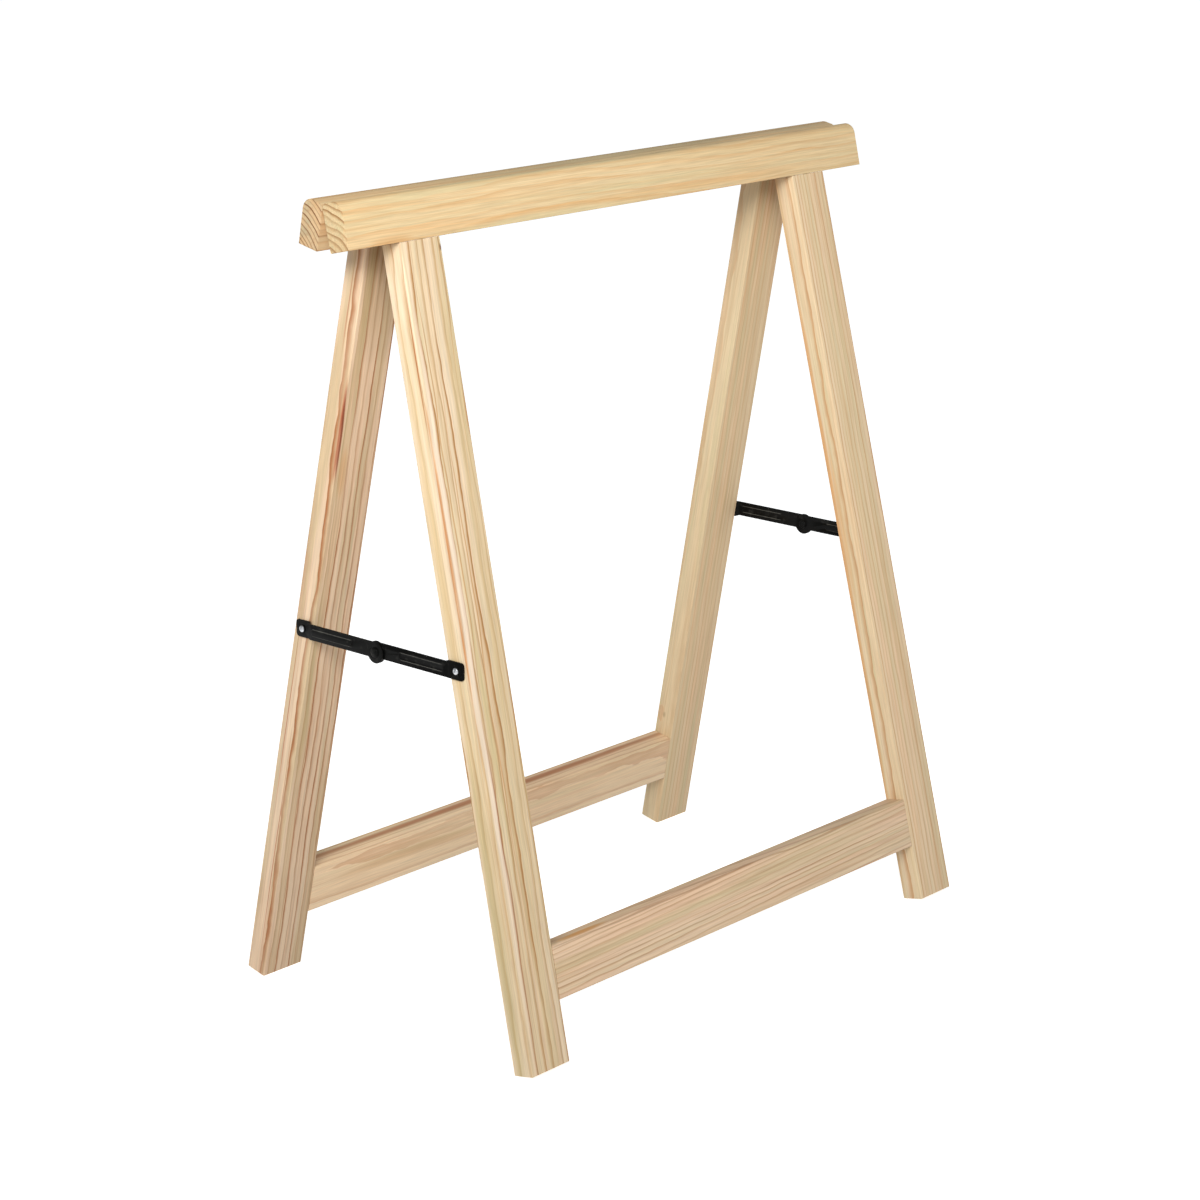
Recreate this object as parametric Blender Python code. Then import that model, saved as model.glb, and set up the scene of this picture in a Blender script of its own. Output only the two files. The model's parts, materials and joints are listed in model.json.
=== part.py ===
"""Folding sawhorse: two pine frames hinged along their top rails and held open by two steel stays.

World frame: X runs along the rails (-X is the left end), Y across the fold (-Y is the front), Z up.
The origin is on the floor, under the middle of the open sawhorse.

Inside each frame three measures are used: x along the rail, "out" square to the frame and away from
the fold, and "down" along the frame from the hinge axis. The frame's empty sits on the hinge axis and
is tilted by the splay, so the point (x, out, down) is (x, side * out, -down) in the empty's space.
"""

import math

import bmesh
import bpy
from mathutils import Matrix, Vector

# ---------------------------------------------------------------- driving sizes, in metres and radians
TOTAL_HEIGHT = 0.750
RAIL_LENGTH = 0.678
SPLAY = math.radians(12.5)          # tilt of each frame from upright when the sawhorse stands open
LEG_LEAN = math.radians(1.5)        # each leg leans this much towards its own end of the sawhorse

RAIL_THICKNESS = 0.0235
RAIL_HEIGHT = 0.042
RAIL_OUTER_ROUND = 0.011            # big rounding along the top outer corner
RAIL_INNER_ROUND = 0.0055           # relief that lets the two rails roll past each other
RAIL_OVERHANG = 0.0575              # rail end to the leg's outer edge, at the rail's underside
EASE = 0.0012                       # every other timber edge is eased by this much

LEG_THICKNESS = 0.023
LEG_WIDTH = 0.0467
STRETCHER_HEIGHT = 0.0478
STRETCHER_ABOVE_FOOT = 0.0550

HINGE_AXIS_BELOW_TOP = 0.008        # measured along the frame, from the rail's flat top
RAIL_TO_HINGE_PLANE = 0.001         # half the slit left between the rails when folded
LEG_TO_HINGE_PLANE = 0.0012

DOWEL_RADIUS = 0.004
DOWEL_LENGTH = 0.040
DOWEL_SPACING = 0.024
DOWEL_CHAMFER = 0.0008
DOWEL_END_ROOM = 0.0006

HINGE_FROM_END = 0.150              # rail end to the middle of a hinge
HINGE_LENGTH = 0.060
HINGE_LEAF_DEPTH = 0.022            # hinge axis to the leaf's far edge
HINGE_LEAF_THICKNESS = 0.0012
HINGE_LEAF_OUT = 0.00025            # leaf face to the hinge plane
HINGE_BARREL_RADIUS = 0.0026
HINGE_PIN_RADIUS = 0.00125
HINGE_KNUCKLES = 5
HINGE_SCREW_SPACING = 0.020
HINGE_SCREW_DOWN = 0.0128
HINGE_SCREW_HEAD_RADIUS = 0.0030
HINGE_SCREW_SHANK_RADIUS = 0.0014
HINGE_SCREW_LENGTH = 0.015

STAY_SCREW_DOWN = 0.399             # hinge axis to the stay screw, along the leg
STAY_SCREW_OUT = 0.012              # hinge plane to the stay screw
STAY_OVER_CENTRE = 0.002            # how far the open knuckle hangs below the line of the screws
STAY_SHEET = 0.0015
STAY_HALF_WIDTH = 0.0072
STAY_TAB_HALF_WIDTH = 0.0080
STAY_TAB_TIP = 0.0085               # screw centre to the rounded end of the tab
STAY_TAB_CORNER = 0.0035
STAY_STEP_START = 0.0095            # screw centre to the step that lifts the arm off the leg
STAY_STEP_RUN = 0.0028
STAY_TAB_GAP = 0.0006               # leg face to tab, room for the lean of the leg
STAY_INNER_ARM_LIFT = 0.0016        # height of the step in the arm that runs next to the leg
STAY_EAR_RADIUS = 0.0100
STAY_BEAD_FROM_KNUCKLE = 0.029
STAY_BEAD_FROM_STEP = 0.003
STAY_BEAD_HALF_WIDTH = 0.0032
STAY_BEAD_HEIGHT = 0.0007
STAY_BEAD_SLOPE = 0.0010            # how much narrower the bead is at its crown, on each side

STAY_SCREW_SHANK_RADIUS = 0.0019
STAY_SCREW_HEAD_RADIUS = 0.0031
STAY_SCREW_HEAD_HEIGHT = 0.0020
STAY_SCREW_DEPTH = 0.024            # leg face to the screw's point
RIVET_SHANK_RADIUS = 0.0022
RIVET_HEAD_RADIUS = 0.0046
RIVET_HEAD_HEIGHT = 0.0018
RIVET_TAIL_RADIUS = 0.0040
RIVET_TAIL_HEIGHT = 0.0012

GAP = 0.0003                        # air left between pieces that touch
CUT_THROUGH = 0.002                 # how far a cutter runs past the faces it opens
ROUND_STEPS = 16
ARC_STEPS = 6

# ---------------------------------------------------------------- derived sizes
SIN = math.sin(SPLAY)
COS = math.cos(SPLAY)
RAIL_TOP_DOWN = -HINGE_AXIS_BELOW_TOP
RAIL_BOTTOM_DOWN = RAIL_TOP_DOWN + RAIL_HEIGHT
RAIL_OUTER_OUT = RAIL_TO_HINGE_PLANE + RAIL_THICKNESS
TOP_ABOVE_AXIS = ((HINGE_AXIS_BELOW_TOP - RAIL_OUTER_ROUND) * COS
                  + (RAIL_OUTER_OUT - RAIL_OUTER_ROUND) * SIN + RAIL_OUTER_ROUND)
AXIS_HEIGHT = TOTAL_HEIGHT - TOP_ABOVE_AXIS
FOOT_DOWN = (AXIS_HEIGHT + LEG_TO_HINGE_PLANE * SIN) / COS
LEG_TOP_DOWN = RAIL_BOTTOM_DOWN + GAP
LEG_MIDDLE_OUT = LEG_TO_HINGE_PLANE + LEG_THICKNESS / 2
STRETCHER_BOTTOM_DOWN = FOOT_DOWN - STRETCHER_ABOVE_FOOT
STRETCHER_TOP_DOWN = STRETCHER_BOTTOM_DOWN - STRETCHER_HEIGHT
STRETCHER_MIDDLE_DOWN = (STRETCHER_TOP_DOWN + STRETCHER_BOTTOM_DOWN) / 2
HINGE_OFFSET = RAIL_LENGTH / 2 - HINGE_FROM_END
STAY_REACH = STAY_SCREW_DOWN * SIN + STAY_SCREW_OUT * COS
STAY_OUTER_ARM_LIFT = STAY_INNER_ARM_LIFT + STAY_SHEET + GAP

BACK = 1
FRONT = -1
LEFT = -1
RIGHT = 1
SIDE_NAMES = {BACK: "back", FRONT: "front"}
END_NAMES = {LEFT: "left", RIGHT: "right"}

PINE_RAIL = ("pine_rail", (0.80, 0.60, 0.34), 0.62, 0.0)
PINE_LEG = ("pine_leg", (0.78, 0.60, 0.40), 0.65, 0.0)
PINE_STRETCHER = ("pine_stretcher", (0.76, 0.58, 0.40), 0.65, 0.0)
BEECH = ("beech_dowel", (0.70, 0.50, 0.32), 0.70, 0.0)
BLACK_STEEL = ("black_steel", (0.012, 0.012, 0.013), 0.45, 0.6)
ZINC = ("zinc_steel", (0.62, 0.63, 0.64), 0.35, 1.0)


# ---------------------------------------------------------------- general helpers
def clear_scene():
    """Remove every object, so that the model is alone in the file."""
    for obj in list(bpy.data.objects):
        bpy.data.objects.remove(obj, do_unlink=True)


def finish(spec):
    """Return the material for a (name, colour, roughness, metallic) finish, made once."""
    name, colour, roughness, metallic = spec
    material = bpy.data.materials.get(name)
    if material is None:
        material = bpy.data.materials.new(name)
        material.use_nodes = True
        shader = material.node_tree.nodes["Principled BSDF"]
        shader.inputs["Base Color"].default_value = (*colour, 1.0)
        shader.inputs["Roughness"].default_value = roughness
        shader.inputs["Metallic"].default_value = metallic
    return material


def add_object(name, mesh, parent, location=(0, 0, 0), rotation=(0, 0, 0)):
    """Link a mesh into the scene under a parent, at a place in the parent's space."""
    obj = bpy.data.objects.new(name, mesh)
    bpy.context.collection.objects.link(obj)
    obj.parent = parent
    obj.location = location
    obj.rotation_euler = rotation
    return obj


def add_piece(name, mesh, spec, parent, location=(0, 0, 0), rotation=(0, 0, 0)):
    """Add one solid of the sawhorse with its finish."""
    obj = add_object(name, mesh, parent, location, rotation)
    mesh.materials.clear()
    mesh.materials.append(finish(spec))
    return obj


def add_cutter(name, mesh, parent, location=(0, 0, 0), rotation=(0, 0, 0)):
    """Add a solid that only shapes others."""
    obj = add_object(name, mesh, parent, location, rotation)
    obj.hide_render = True
    obj.display_type = "WIRE"
    return obj


def combine(target, tool, operation):
    """Cut the tool from the target, or join it to the target."""
    boolean = target.modifiers.new(f"{operation.lower()}_{tool.name}", "BOOLEAN")
    boolean.operation = operation
    boolean.solver = "EXACT"
    boolean.object = tool


def ease_edges(obj, width=EASE, segments=2):
    """Round the sharp edges of a timber piece."""
    bevel = obj.modifiers.new("eased_edges", "BEVEL")
    bevel.width = width
    bevel.segments = segments
    bevel.limit_method = "ANGLE"
    bevel.angle_limit = math.radians(40)


def to_mesh(name, bm, smooth_angle=None):
    """Turn a closed bmesh into a mesh with its faces pointing outwards."""
    bmesh.ops.recalc_face_normals(bm, faces=bm.faces)
    mesh = bpy.data.meshes.new(name)
    bm.to_mesh(mesh)
    bm.free()
    if smooth_angle is not None:
        mesh.shade_smooth()
        mesh.set_sharp_from_angle(angle=math.radians(smooth_angle))
    return mesh


def arc(centre, radius, start, end, steps=ARC_STEPS):
    """Points of an arc from one angle to another, in degrees, both ends included."""
    points = []
    for i in range(steps + 1):
        angle = math.radians(start + (end - start) * i / steps)
        points.append((centre[0] + radius * math.cos(angle), centre[1] + radius * math.sin(angle)))
    return points


def extruded(bm, outline, low, high, to_point):
    """Extrude a flat outline between two depths; to_point maps (a, b, depth) into the mesh's space."""
    face = bm.faces.new([bm.verts.new(to_point(a, b, low)) for a, b in outline])
    shift = Vector(to_point(0, 0, high)) - Vector(to_point(0, 0, low))
    result = bmesh.ops.extrude_face_region(bm, geom=[face])
    moved = [item for item in result["geom"] if isinstance(item, bmesh.types.BMVert)]
    bmesh.ops.translate(bm, verts=moved, vec=shift)


def turned(bm, profile, to_world=Matrix(), steps=ROUND_STEPS):
    """Turn a (radius, height) profile about Z; it starts and ends on the axis."""
    rings = []
    for radius, height in profile:
        count = 1 if radius == 0 else steps
        ring = []
        for i in range(count):
            angle = 2 * math.pi * i / steps
            point = Vector((radius * math.cos(angle), radius * math.sin(angle), height))
            ring.append(bm.verts.new(to_world @ point))
        rings.append(ring)
    for near, far in zip(rings, rings[1:]):
        for i in range(steps):
            corners = [near[i % len(near)], near[(i + 1) % len(near)],
                       far[(i + 1) % len(far)], far[i % len(far)]]
            unique = list(dict.fromkeys(corners))
            bm.faces.new(unique)


def along(axis, place):
    """Matrix that stands a turned profile's Z along an axis, with its zero height at a place."""
    return Matrix.Translation(place) @ Vector((0, 0, 1)).rotation_difference(Vector(axis)).to_matrix().to_4x4()


def rod_profile(radius, length):
    """Profile of a plain rod centred on its own middle."""
    return [(0, -length / 2), (radius, -length / 2), (radius, length / 2), (0, length / 2)]


def dome(radius, base, height, steps=3):
    """Profile of a low dome, from its crown on the axis down to its rim."""
    points = [(0, base + height)]
    for i in range(1, steps + 1):
        angle = math.radians(90 * i / steps)
        points.append((radius * math.sin(angle), base + height * (0.25 + 0.75 * math.cos(angle))))
    points.append((radius, base))
    return points


# ---------------------------------------------------------------- places in a frame
def in_frame(side, x, out, down):
    """Place in the space of a frame's empty."""
    return Vector((x, side * out, -down))


def leg_edge(down):
    """Distance from the middle to a leg's outer edge, at a depth below the hinge axis."""
    at_rail = RAIL_LENGTH / 2 - RAIL_OVERHANG
    return at_rail + math.tan(LEG_LEAN) * (down - RAIL_BOTTOM_DOWN)


def leg_inner_edge(down):
    """Distance from the middle to a leg's inner edge, at a depth below the hinge axis."""
    return leg_edge(down) - LEG_WIDTH / math.cos(LEG_LEAN)


def leg_middle(down):
    """Distance from the middle to a leg's middle line, at a depth below the hinge axis."""
    return (leg_edge(down) + leg_inner_edge(down)) / 2


def add_frame_empty(side):
    """Empty on the hinge axis, tilted like the frame that hangs from it."""
    empty = bpy.data.objects.new(f"{SIDE_NAMES[side]}_frame_axis", None)
    bpy.context.collection.objects.link(empty)
    empty.location = (0, 0, AXIS_HEIGHT)
    empty.rotation_euler = (side * SPLAY, 0, 0)
    return empty


# ---------------------------------------------------------------- timber
def dowel_places(side):
    """Name, place and axis of every dowel of a frame."""
    places = []
    for end in (LEFT, RIGHT):
        for number, step in enumerate((-0.5, 0.5), start=1):
            top = end * leg_middle(RAIL_BOTTOM_DOWN) + step * DOWEL_SPACING
            places.append((f"{SIDE_NAMES[side]}_{END_NAMES[end]}_rail_dowel_{number}",
                           in_frame(side, top, LEG_MIDDLE_OUT, RAIL_BOTTOM_DOWN), (0, 0, 1)))
            down = STRETCHER_MIDDLE_DOWN + step * DOWEL_SPACING
            places.append((f"{SIDE_NAMES[side]}_{END_NAMES[end]}_stretcher_dowel_{number}",
                           in_frame(side, end * leg_inner_edge(down), LEG_MIDDLE_OUT, down), (1, 0, 0)))
    return places


def joint_bores(side):
    """One closed cutter for every dowel bore and stay screw bore of a frame."""
    bm = bmesh.new()
    bore = rod_profile(DOWEL_RADIUS + GAP, DOWEL_LENGTH + 2 * DOWEL_END_ROOM)
    for _, place, axis in dowel_places(side):
        turned(bm, bore, along(axis, place))
    screw_bore_depth = STAY_SCREW_DEPTH + DOWEL_END_ROOM
    screw_bore = rod_profile(STAY_SCREW_SHANK_RADIUS + GAP, screw_bore_depth + CUT_THROUGH)
    for end in (LEFT, RIGHT):
        middle = leg_edge(STAY_SCREW_DOWN) + (CUT_THROUGH - screw_bore_depth) / 2
        place = in_frame(side, end * middle, STAY_SCREW_OUT, STAY_SCREW_DOWN)
        turned(bm, screw_bore, along((1, 0, 0), place))
    return to_mesh(f"{SIDE_NAMES[side]}_joint_bores", bm)


def rail_outline():
    """Section of a rail as (out, down) points, with the tall flat side towards the hinge plane."""
    inner = RAIL_TO_HINGE_PLANE
    top = RAIL_TOP_DOWN
    outline = arc((inner + RAIL_INNER_ROUND, top + RAIL_INNER_ROUND), RAIL_INNER_ROUND, 180, 270)
    outline += arc((RAIL_OUTER_OUT - RAIL_OUTER_ROUND, top + RAIL_OUTER_ROUND), RAIL_OUTER_ROUND,
                   270, 360, 2 * ARC_STEPS)
    outline += arc((RAIL_OUTER_OUT - EASE, RAIL_BOTTOM_DOWN - EASE), EASE, 0, 90, 2)
    outline += arc((inner + EASE, RAIL_BOTTOM_DOWN - EASE), EASE, 90, 180, 2)
    return outline


def make_rail(side, frame):
    """Top rail, with its origin in the middle of the section."""
    middle_out = RAIL_TO_HINGE_PLANE + RAIL_THICKNESS / 2
    middle_down = (RAIL_TOP_DOWN + RAIL_BOTTOM_DOWN) / 2
    bm = bmesh.new()
    outline = [(out - middle_out, down - middle_down) for out, down in rail_outline()]
    extruded(bm, outline, -RAIL_LENGTH / 2, RAIL_LENGTH / 2, lambda out, down, x: (x, side * out, -down))
    name = f"{SIDE_NAMES[side]}_rail"
    rail = add_piece(name, to_mesh(name, bm, 35), PINE_RAIL, frame,
                     in_frame(side, 0, middle_out, middle_down))
    ease_edges(rail, EASE / 2, 1)
    return rail


def make_leg(side, end, frame):
    """Leg, cut level with the rail at both ends although it leans."""
    middle_down = (LEG_TOP_DOWN + FOOT_DOWN) / 2
    middle_x = leg_middle(middle_down)
    outline = [(leg_inner_edge(LEG_TOP_DOWN), LEG_TOP_DOWN), (leg_edge(LEG_TOP_DOWN), LEG_TOP_DOWN),
               (leg_edge(FOOT_DOWN), FOOT_DOWN), (leg_inner_edge(FOOT_DOWN), FOOT_DOWN)]
    bm = bmesh.new()
    extruded(bm, [(x - middle_x, down - middle_down) for x, down in outline],
             -LEG_THICKNESS / 2, LEG_THICKNESS / 2, lambda x, down, out: (end * x, side * out, -down))
    name = f"{SIDE_NAMES[side]}_{END_NAMES[end]}_leg"
    leg = add_piece(name, to_mesh(name, bm), PINE_LEG, frame,
                    in_frame(side, end * middle_x, LEG_MIDDLE_OUT, middle_down))
    ease_edges(leg)
    return leg


def make_stretcher(side, frame):
    """Lower stretcher, butted between the legs and flush with both of their faces."""
    bm = bmesh.new()
    corners = [(-leg_inner_edge(STRETCHER_TOP_DOWN) + GAP, STRETCHER_TOP_DOWN),
               (leg_inner_edge(STRETCHER_TOP_DOWN) - GAP, STRETCHER_TOP_DOWN),
               (leg_inner_edge(STRETCHER_BOTTOM_DOWN) - GAP, STRETCHER_BOTTOM_DOWN),
               (-leg_inner_edge(STRETCHER_BOTTOM_DOWN) + GAP, STRETCHER_BOTTOM_DOWN)]
    extruded(bm, [(x, down - STRETCHER_MIDDLE_DOWN) for x, down in corners],
             -LEG_THICKNESS / 2, LEG_THICKNESS / 2, lambda x, down, out: (x, side * out, -down))
    name = f"{SIDE_NAMES[side]}_stretcher"
    stretcher = add_piece(name, to_mesh(name, bm), PINE_STRETCHER, frame,
                          in_frame(side, 0, LEG_MIDDLE_OUT, STRETCHER_MIDDLE_DOWN))
    ease_edges(stretcher)
    return stretcher


def make_dowels(side, frame):
    """Dowels that hold the legs to the rail and the stretcher to the legs."""
    bm = bmesh.new()
    half = DOWEL_LENGTH / 2
    turned(bm, [(0, -half), (DOWEL_RADIUS - DOWEL_CHAMFER, -half), (DOWEL_RADIUS, DOWEL_CHAMFER - half),
                (DOWEL_RADIUS, half - DOWEL_CHAMFER), (DOWEL_RADIUS - DOWEL_CHAMFER, half), (0, half)])
    mesh = to_mesh(f"{SIDE_NAMES[side]}_dowel", bm, 30)
    for name, place, axis in dowel_places(side):
        turn = (0, math.pi / 2, 0) if axis[0] else (0, 0, 0)
        add_piece(name, mesh, BEECH, frame, place, turn)


# ---------------------------------------------------------------- butt hinges
def box(bm, low, high):
    """Add a closed box between two corners."""
    outline = [(low[0], low[1]), (high[0], low[1]), (high[0], high[1]), (low[0], high[1])]
    extruded(bm, outline, low[2], high[2], lambda x, y, z: (x, y, z))


def knuckle_spans(own):
    """Start and end, along the pin, of the knuckles that belong to one leaf."""
    pitch = (HINGE_LENGTH + GAP) / HINGE_KNUCKLES
    first = 0 if own == BACK else 1
    return [(i * pitch - HINGE_LENGTH / 2, (i + 1) * pitch - GAP - HINGE_LENGTH / 2)
            for i in range(first, HINGE_KNUCKLES, 2)]


def leaf_box(side, x_low, x_high, out_low, out_high, down_low, down_high):
    """Corners of a box that lies in a frame's space."""
    across = sorted((side * out_low, side * out_high))
    return (x_low, across[0], -down_high), (x_high, across[1], -down_low)


def screw_places(side, x):
    """Places of the three screws of one hinge leaf, on the face of the leaf."""
    return [in_frame(side, x + step * HINGE_SCREW_SPACING, HINGE_LEAF_OUT, HINGE_SCREW_DOWN)
            for step in (-1, 0, 1)]


def hinge_screw_profile(room=0.0):
    """Countersunk wood screw, its flat head at zero height; room makes the bore that it sits in."""
    sink = HINGE_SCREW_HEAD_RADIUS - HINGE_SCREW_SHANK_RADIUS
    head = HINGE_SCREW_HEAD_RADIUS + room
    shank = HINGE_SCREW_SHANK_RADIUS + room
    tip = HINGE_SCREW_LENGTH + room
    profile = [(0, 0), (head, 0)]
    if room:
        profile = [(0, CUT_THROUGH), (head, CUT_THROUGH), (head, 0)]
    return profile + [(shank, -sink), (shank, 2 * shank - tip), (0, -tip)]


def hinge_screw_bores(side, frame):
    """One closed cutter for the countersunk bores of a frame's hinge screws."""
    bm = bmesh.new()
    for end in (LEFT, RIGHT):
        for place in screw_places(side, end * HINGE_OFFSET):
            turned(bm, hinge_screw_profile(GAP), along((0, -side, 0), place))
    return add_cutter(f"{SIDE_NAMES[side]}_hinge_screw_bores", to_mesh("hinge_screw_bores", bm), frame)


def hinge_mortises(side, frame):
    """Cutters that let the leaves and the barrels of both hinges into a rail."""
    leaves = bmesh.new()
    barrels = bmesh.new()
    half = HINGE_LENGTH / 2 + GAP
    back_of_leaf = HINGE_LEAF_OUT + HINGE_LEAF_THICKNESS + GAP
    for end in (LEFT, RIGHT):
        x = end * HINGE_OFFSET
        box(leaves, *leaf_box(side, x - half, x + half, -CUT_THROUGH, back_of_leaf,
                              0, HINGE_LEAF_DEPTH + GAP))
        channel = rod_profile(HINGE_BARREL_RADIUS + GAP, 2 * half + GAP)
        turned(barrels, channel, along((1, 0, 0), (x, 0, 0)))
    return [add_cutter(f"{SIDE_NAMES[side]}_leaf_mortises", to_mesh("leaf_mortises", leaves), frame),
            add_cutter(f"{SIDE_NAMES[side]}_barrel_channels", to_mesh("barrel_channels", barrels), frame)]


def make_leaf(side, end, frame):
    """Hinge leaf: a plate with its knuckles, a bore for the pin and three countersunk holes."""
    name = f"{END_NAMES[end]}_hinge_{SIDE_NAMES[side]}_leaf"
    place = in_frame(side, end * HINGE_OFFSET, 0, 0)
    plate = bmesh.new()
    box(plate, *leaf_box(side, -HINGE_LENGTH / 2, HINGE_LENGTH / 2, HINGE_LEAF_OUT,
                         HINGE_LEAF_OUT + HINGE_LEAF_THICKNESS, 0, HINGE_LEAF_DEPTH))
    leaf = add_piece(name, to_mesh(name, plate), ZINC, frame, place)

    slots = bmesh.new()
    for low, high in knuckle_spans(-side):
        box(slots, *leaf_box(side, low - GAP, high + GAP, -CUT_THROUGH, 2 * HINGE_BARREL_RADIUS,
                             -CUT_THROUGH, HINGE_BARREL_RADIUS + 2 * GAP))
    combine(leaf, add_cutter(f"{name}_slots", to_mesh("slots", slots), frame, place), "DIFFERENCE")

    barrels = bmesh.new()
    for low, high in knuckle_spans(side):
        turned(barrels, rod_profile(HINGE_BARREL_RADIUS, high - low - GAP / 2),
               along((1, 0, 0), ((low + high) / 2, 0, 0)))
    combine(leaf, add_cutter(f"{name}_barrels", to_mesh("barrels", barrels), frame, place), "UNION")

    bore = bmesh.new()
    turned(bore, rod_profile(HINGE_PIN_RADIUS + GAP, HINGE_LENGTH + CUT_THROUGH), along((1, 0, 0), (0, 0, 0)))
    combine(leaf, add_cutter(f"{name}_pin_bore", to_mesh("pin_bore", bore), frame, place), "DIFFERENCE")
    return leaf


def make_hinge_pin(end, frame):
    """Pin of one hinge, held by the back leaf."""
    name = f"{END_NAMES[end]}_hinge_pin"
    bm = bmesh.new()
    turned(bm, rod_profile(HINGE_PIN_RADIUS, HINGE_LENGTH), along((1, 0, 0), (0, 0, 0)))
    add_piece(name, to_mesh(name, bm, 40), ZINC, frame, (end * HINGE_OFFSET, 0, 0))


def make_hinge_screws(side, end, frame):
    """Three countersunk screws that hold a leaf in its rail."""
    bm = bmesh.new()
    turned(bm, hinge_screw_profile())
    mesh = to_mesh(f"{SIDE_NAMES[side]}_hinge_screw", bm, 40)
    for number, place in enumerate(screw_places(side, end * HINGE_OFFSET), start=1):
        name = f"{END_NAMES[end]}_hinge_{SIDE_NAMES[side]}_screw_{number}"
        add_piece(name, mesh, ZINC, frame, place, (side * math.pi / 2, 0, 0))


# ---------------------------------------------------------------- folding stays
def arm_lift(side):
    """Height of an arm's step: the back arm runs outside the front arm at the knuckle."""
    return STAY_OUTER_ARM_LIFT if side == BACK else STAY_INNER_ARM_LIFT


def arm_outline():
    """Outline of an arm as (reach, rise) points about its screw, with the ear about its rivet."""
    wide = STAY_TAB_HALF_WIDTH
    narrow = STAY_HALF_WIDTH
    corner = STAY_TAB_CORNER
    over = math.degrees(math.asin((narrow + STAY_OVER_CENTRE) / STAY_EAR_RADIUS))
    under = math.degrees(math.asin((narrow - STAY_OVER_CENTRE) / STAY_EAR_RADIUS))
    outline = arc((corner - STAY_TAB_TIP, corner - wide), corner, 180, 270, 3)
    outline += [(STAY_STEP_START, -wide), (STAY_STEP_START + STAY_STEP_RUN, -narrow)]
    outline += arc((STAY_REACH, -STAY_OVER_CENTRE), STAY_EAR_RADIUS, -180 + under, 180 - over, 18)
    outline += [(STAY_STEP_START + STAY_STEP_RUN, narrow), (STAY_STEP_START, wide)]
    outline += arc((corner - STAY_TAB_TIP, wide - corner), corner, 90, 180, 3)
    return outline


def bead_outline(inset):
    """Long round-ended outline of the pressed bead, drawn in by an inset."""
    start = STAY_STEP_START + STAY_STEP_RUN + STAY_BEAD_FROM_STEP + STAY_BEAD_HALF_WIDTH
    end = STAY_REACH - STAY_BEAD_FROM_KNUCKLE - STAY_BEAD_HALF_WIDTH
    radius = STAY_BEAD_HALF_WIDTH - inset
    return arc((end, 0), radius, -90, 90, 6) + arc((start, 0), radius, 90, 270, 6)


def bead_solid(base, crown, inset, to_point):
    """Closed bead that rises from its base level to its crown level, narrowing as it goes."""
    bm = bmesh.new()
    low = [bm.verts.new(to_point(a, b, base)) for a, b in bead_outline(inset)]
    high = [bm.verts.new(to_point(a, b, crown)) for a, b in bead_outline(inset + STAY_BEAD_SLOPE)]
    bm.faces.new(low)
    bm.faces.new(high)
    for i, corner in enumerate(low):
        after = (i + 1) % len(low)
        bm.faces.new([corner, low[after], high[after], high[i]])
    return to_mesh("bead", bm)


def stay_point(side, end):
    """Map (reach, rise, lift) of an arm into world directions, about its screw on the leg's face."""
    return lambda reach, rise, lift: (end * lift, -side * reach, rise)


def arm_sheet(side, end):
    """Stepped sheet of an arm, without its bead and holes."""
    to_point = stay_point(side, end)
    step_end = STAY_STEP_START + STAY_STEP_RUN
    level = STAY_TAB_GAP
    bm = bmesh.new()
    extruded(bm, arm_outline(), level, level + STAY_SHEET, to_point)
    for reach in (STAY_STEP_START, step_end):
        geometry = bm.verts[:] + bm.edges[:] + bm.faces[:]
        bmesh.ops.bisect_plane(bm, geom=geometry, plane_co=to_point(reach, 0, 0),
                               plane_no=to_point(1, 0, 0), dist=1e-7)
    for vert in bm.verts:
        reach = -side * vert.co.y
        share = min(max((reach - STAY_STEP_START) / STAY_STEP_RUN, 0.0), 1.0)
        vert.co.x += end * arm_lift(side) * share
    return to_mesh("arm", bm)


def make_arm(side, end, frame):
    """One arm of a stay, turning on its screw, with its origin on the screw's axis."""
    name = f"{END_NAMES[end]}_stay_{SIDE_NAMES[side]}_arm"
    to_point = stay_point(side, end)
    place = in_frame(side, end * leg_edge(STAY_SCREW_DOWN), STAY_SCREW_OUT, STAY_SCREW_DOWN)
    level = (-side * SPLAY, 0, 0)
    arm = add_piece(name, arm_sheet(side, end), BLACK_STEEL, frame, place, level)

    inner = STAY_TAB_GAP + arm_lift(side)
    outer = inner + STAY_SHEET
    proud, hollow, away = (outer, inner, 1) if side == BACK else (inner, outer, -1)
    ridge = bead_solid(proud - away * STAY_SHEET / 3, proud + away * STAY_BEAD_HEIGHT, 0, to_point)
    groove = bead_solid(hollow - away * STAY_BEAD_HEIGHT, hollow + away * STAY_BEAD_HEIGHT,
                        STAY_BEAD_SLOPE / 2, to_point)
    combine(arm, add_cutter(f"{name}_ridge", ridge, frame, place, level), "UNION")
    combine(arm, add_cutter(f"{name}_groove", groove, frame, place, level), "DIFFERENCE")

    holes = bmesh.new()
    span = 4 * STAY_OUTER_ARM_LIFT
    turned(holes, rod_profile(STAY_SCREW_SHANK_RADIUS + GAP, span), along((1, 0, 0), (0, 0, 0)))
    turned(holes, rod_profile(RIVET_SHANK_RADIUS + GAP, span),
           along((1, 0, 0), to_point(STAY_REACH, -STAY_OVER_CENTRE, 0)))
    combine(arm, add_cutter(f"{name}_holes", to_mesh("holes", holes), frame, place, level), "DIFFERENCE")
    return arm


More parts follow.
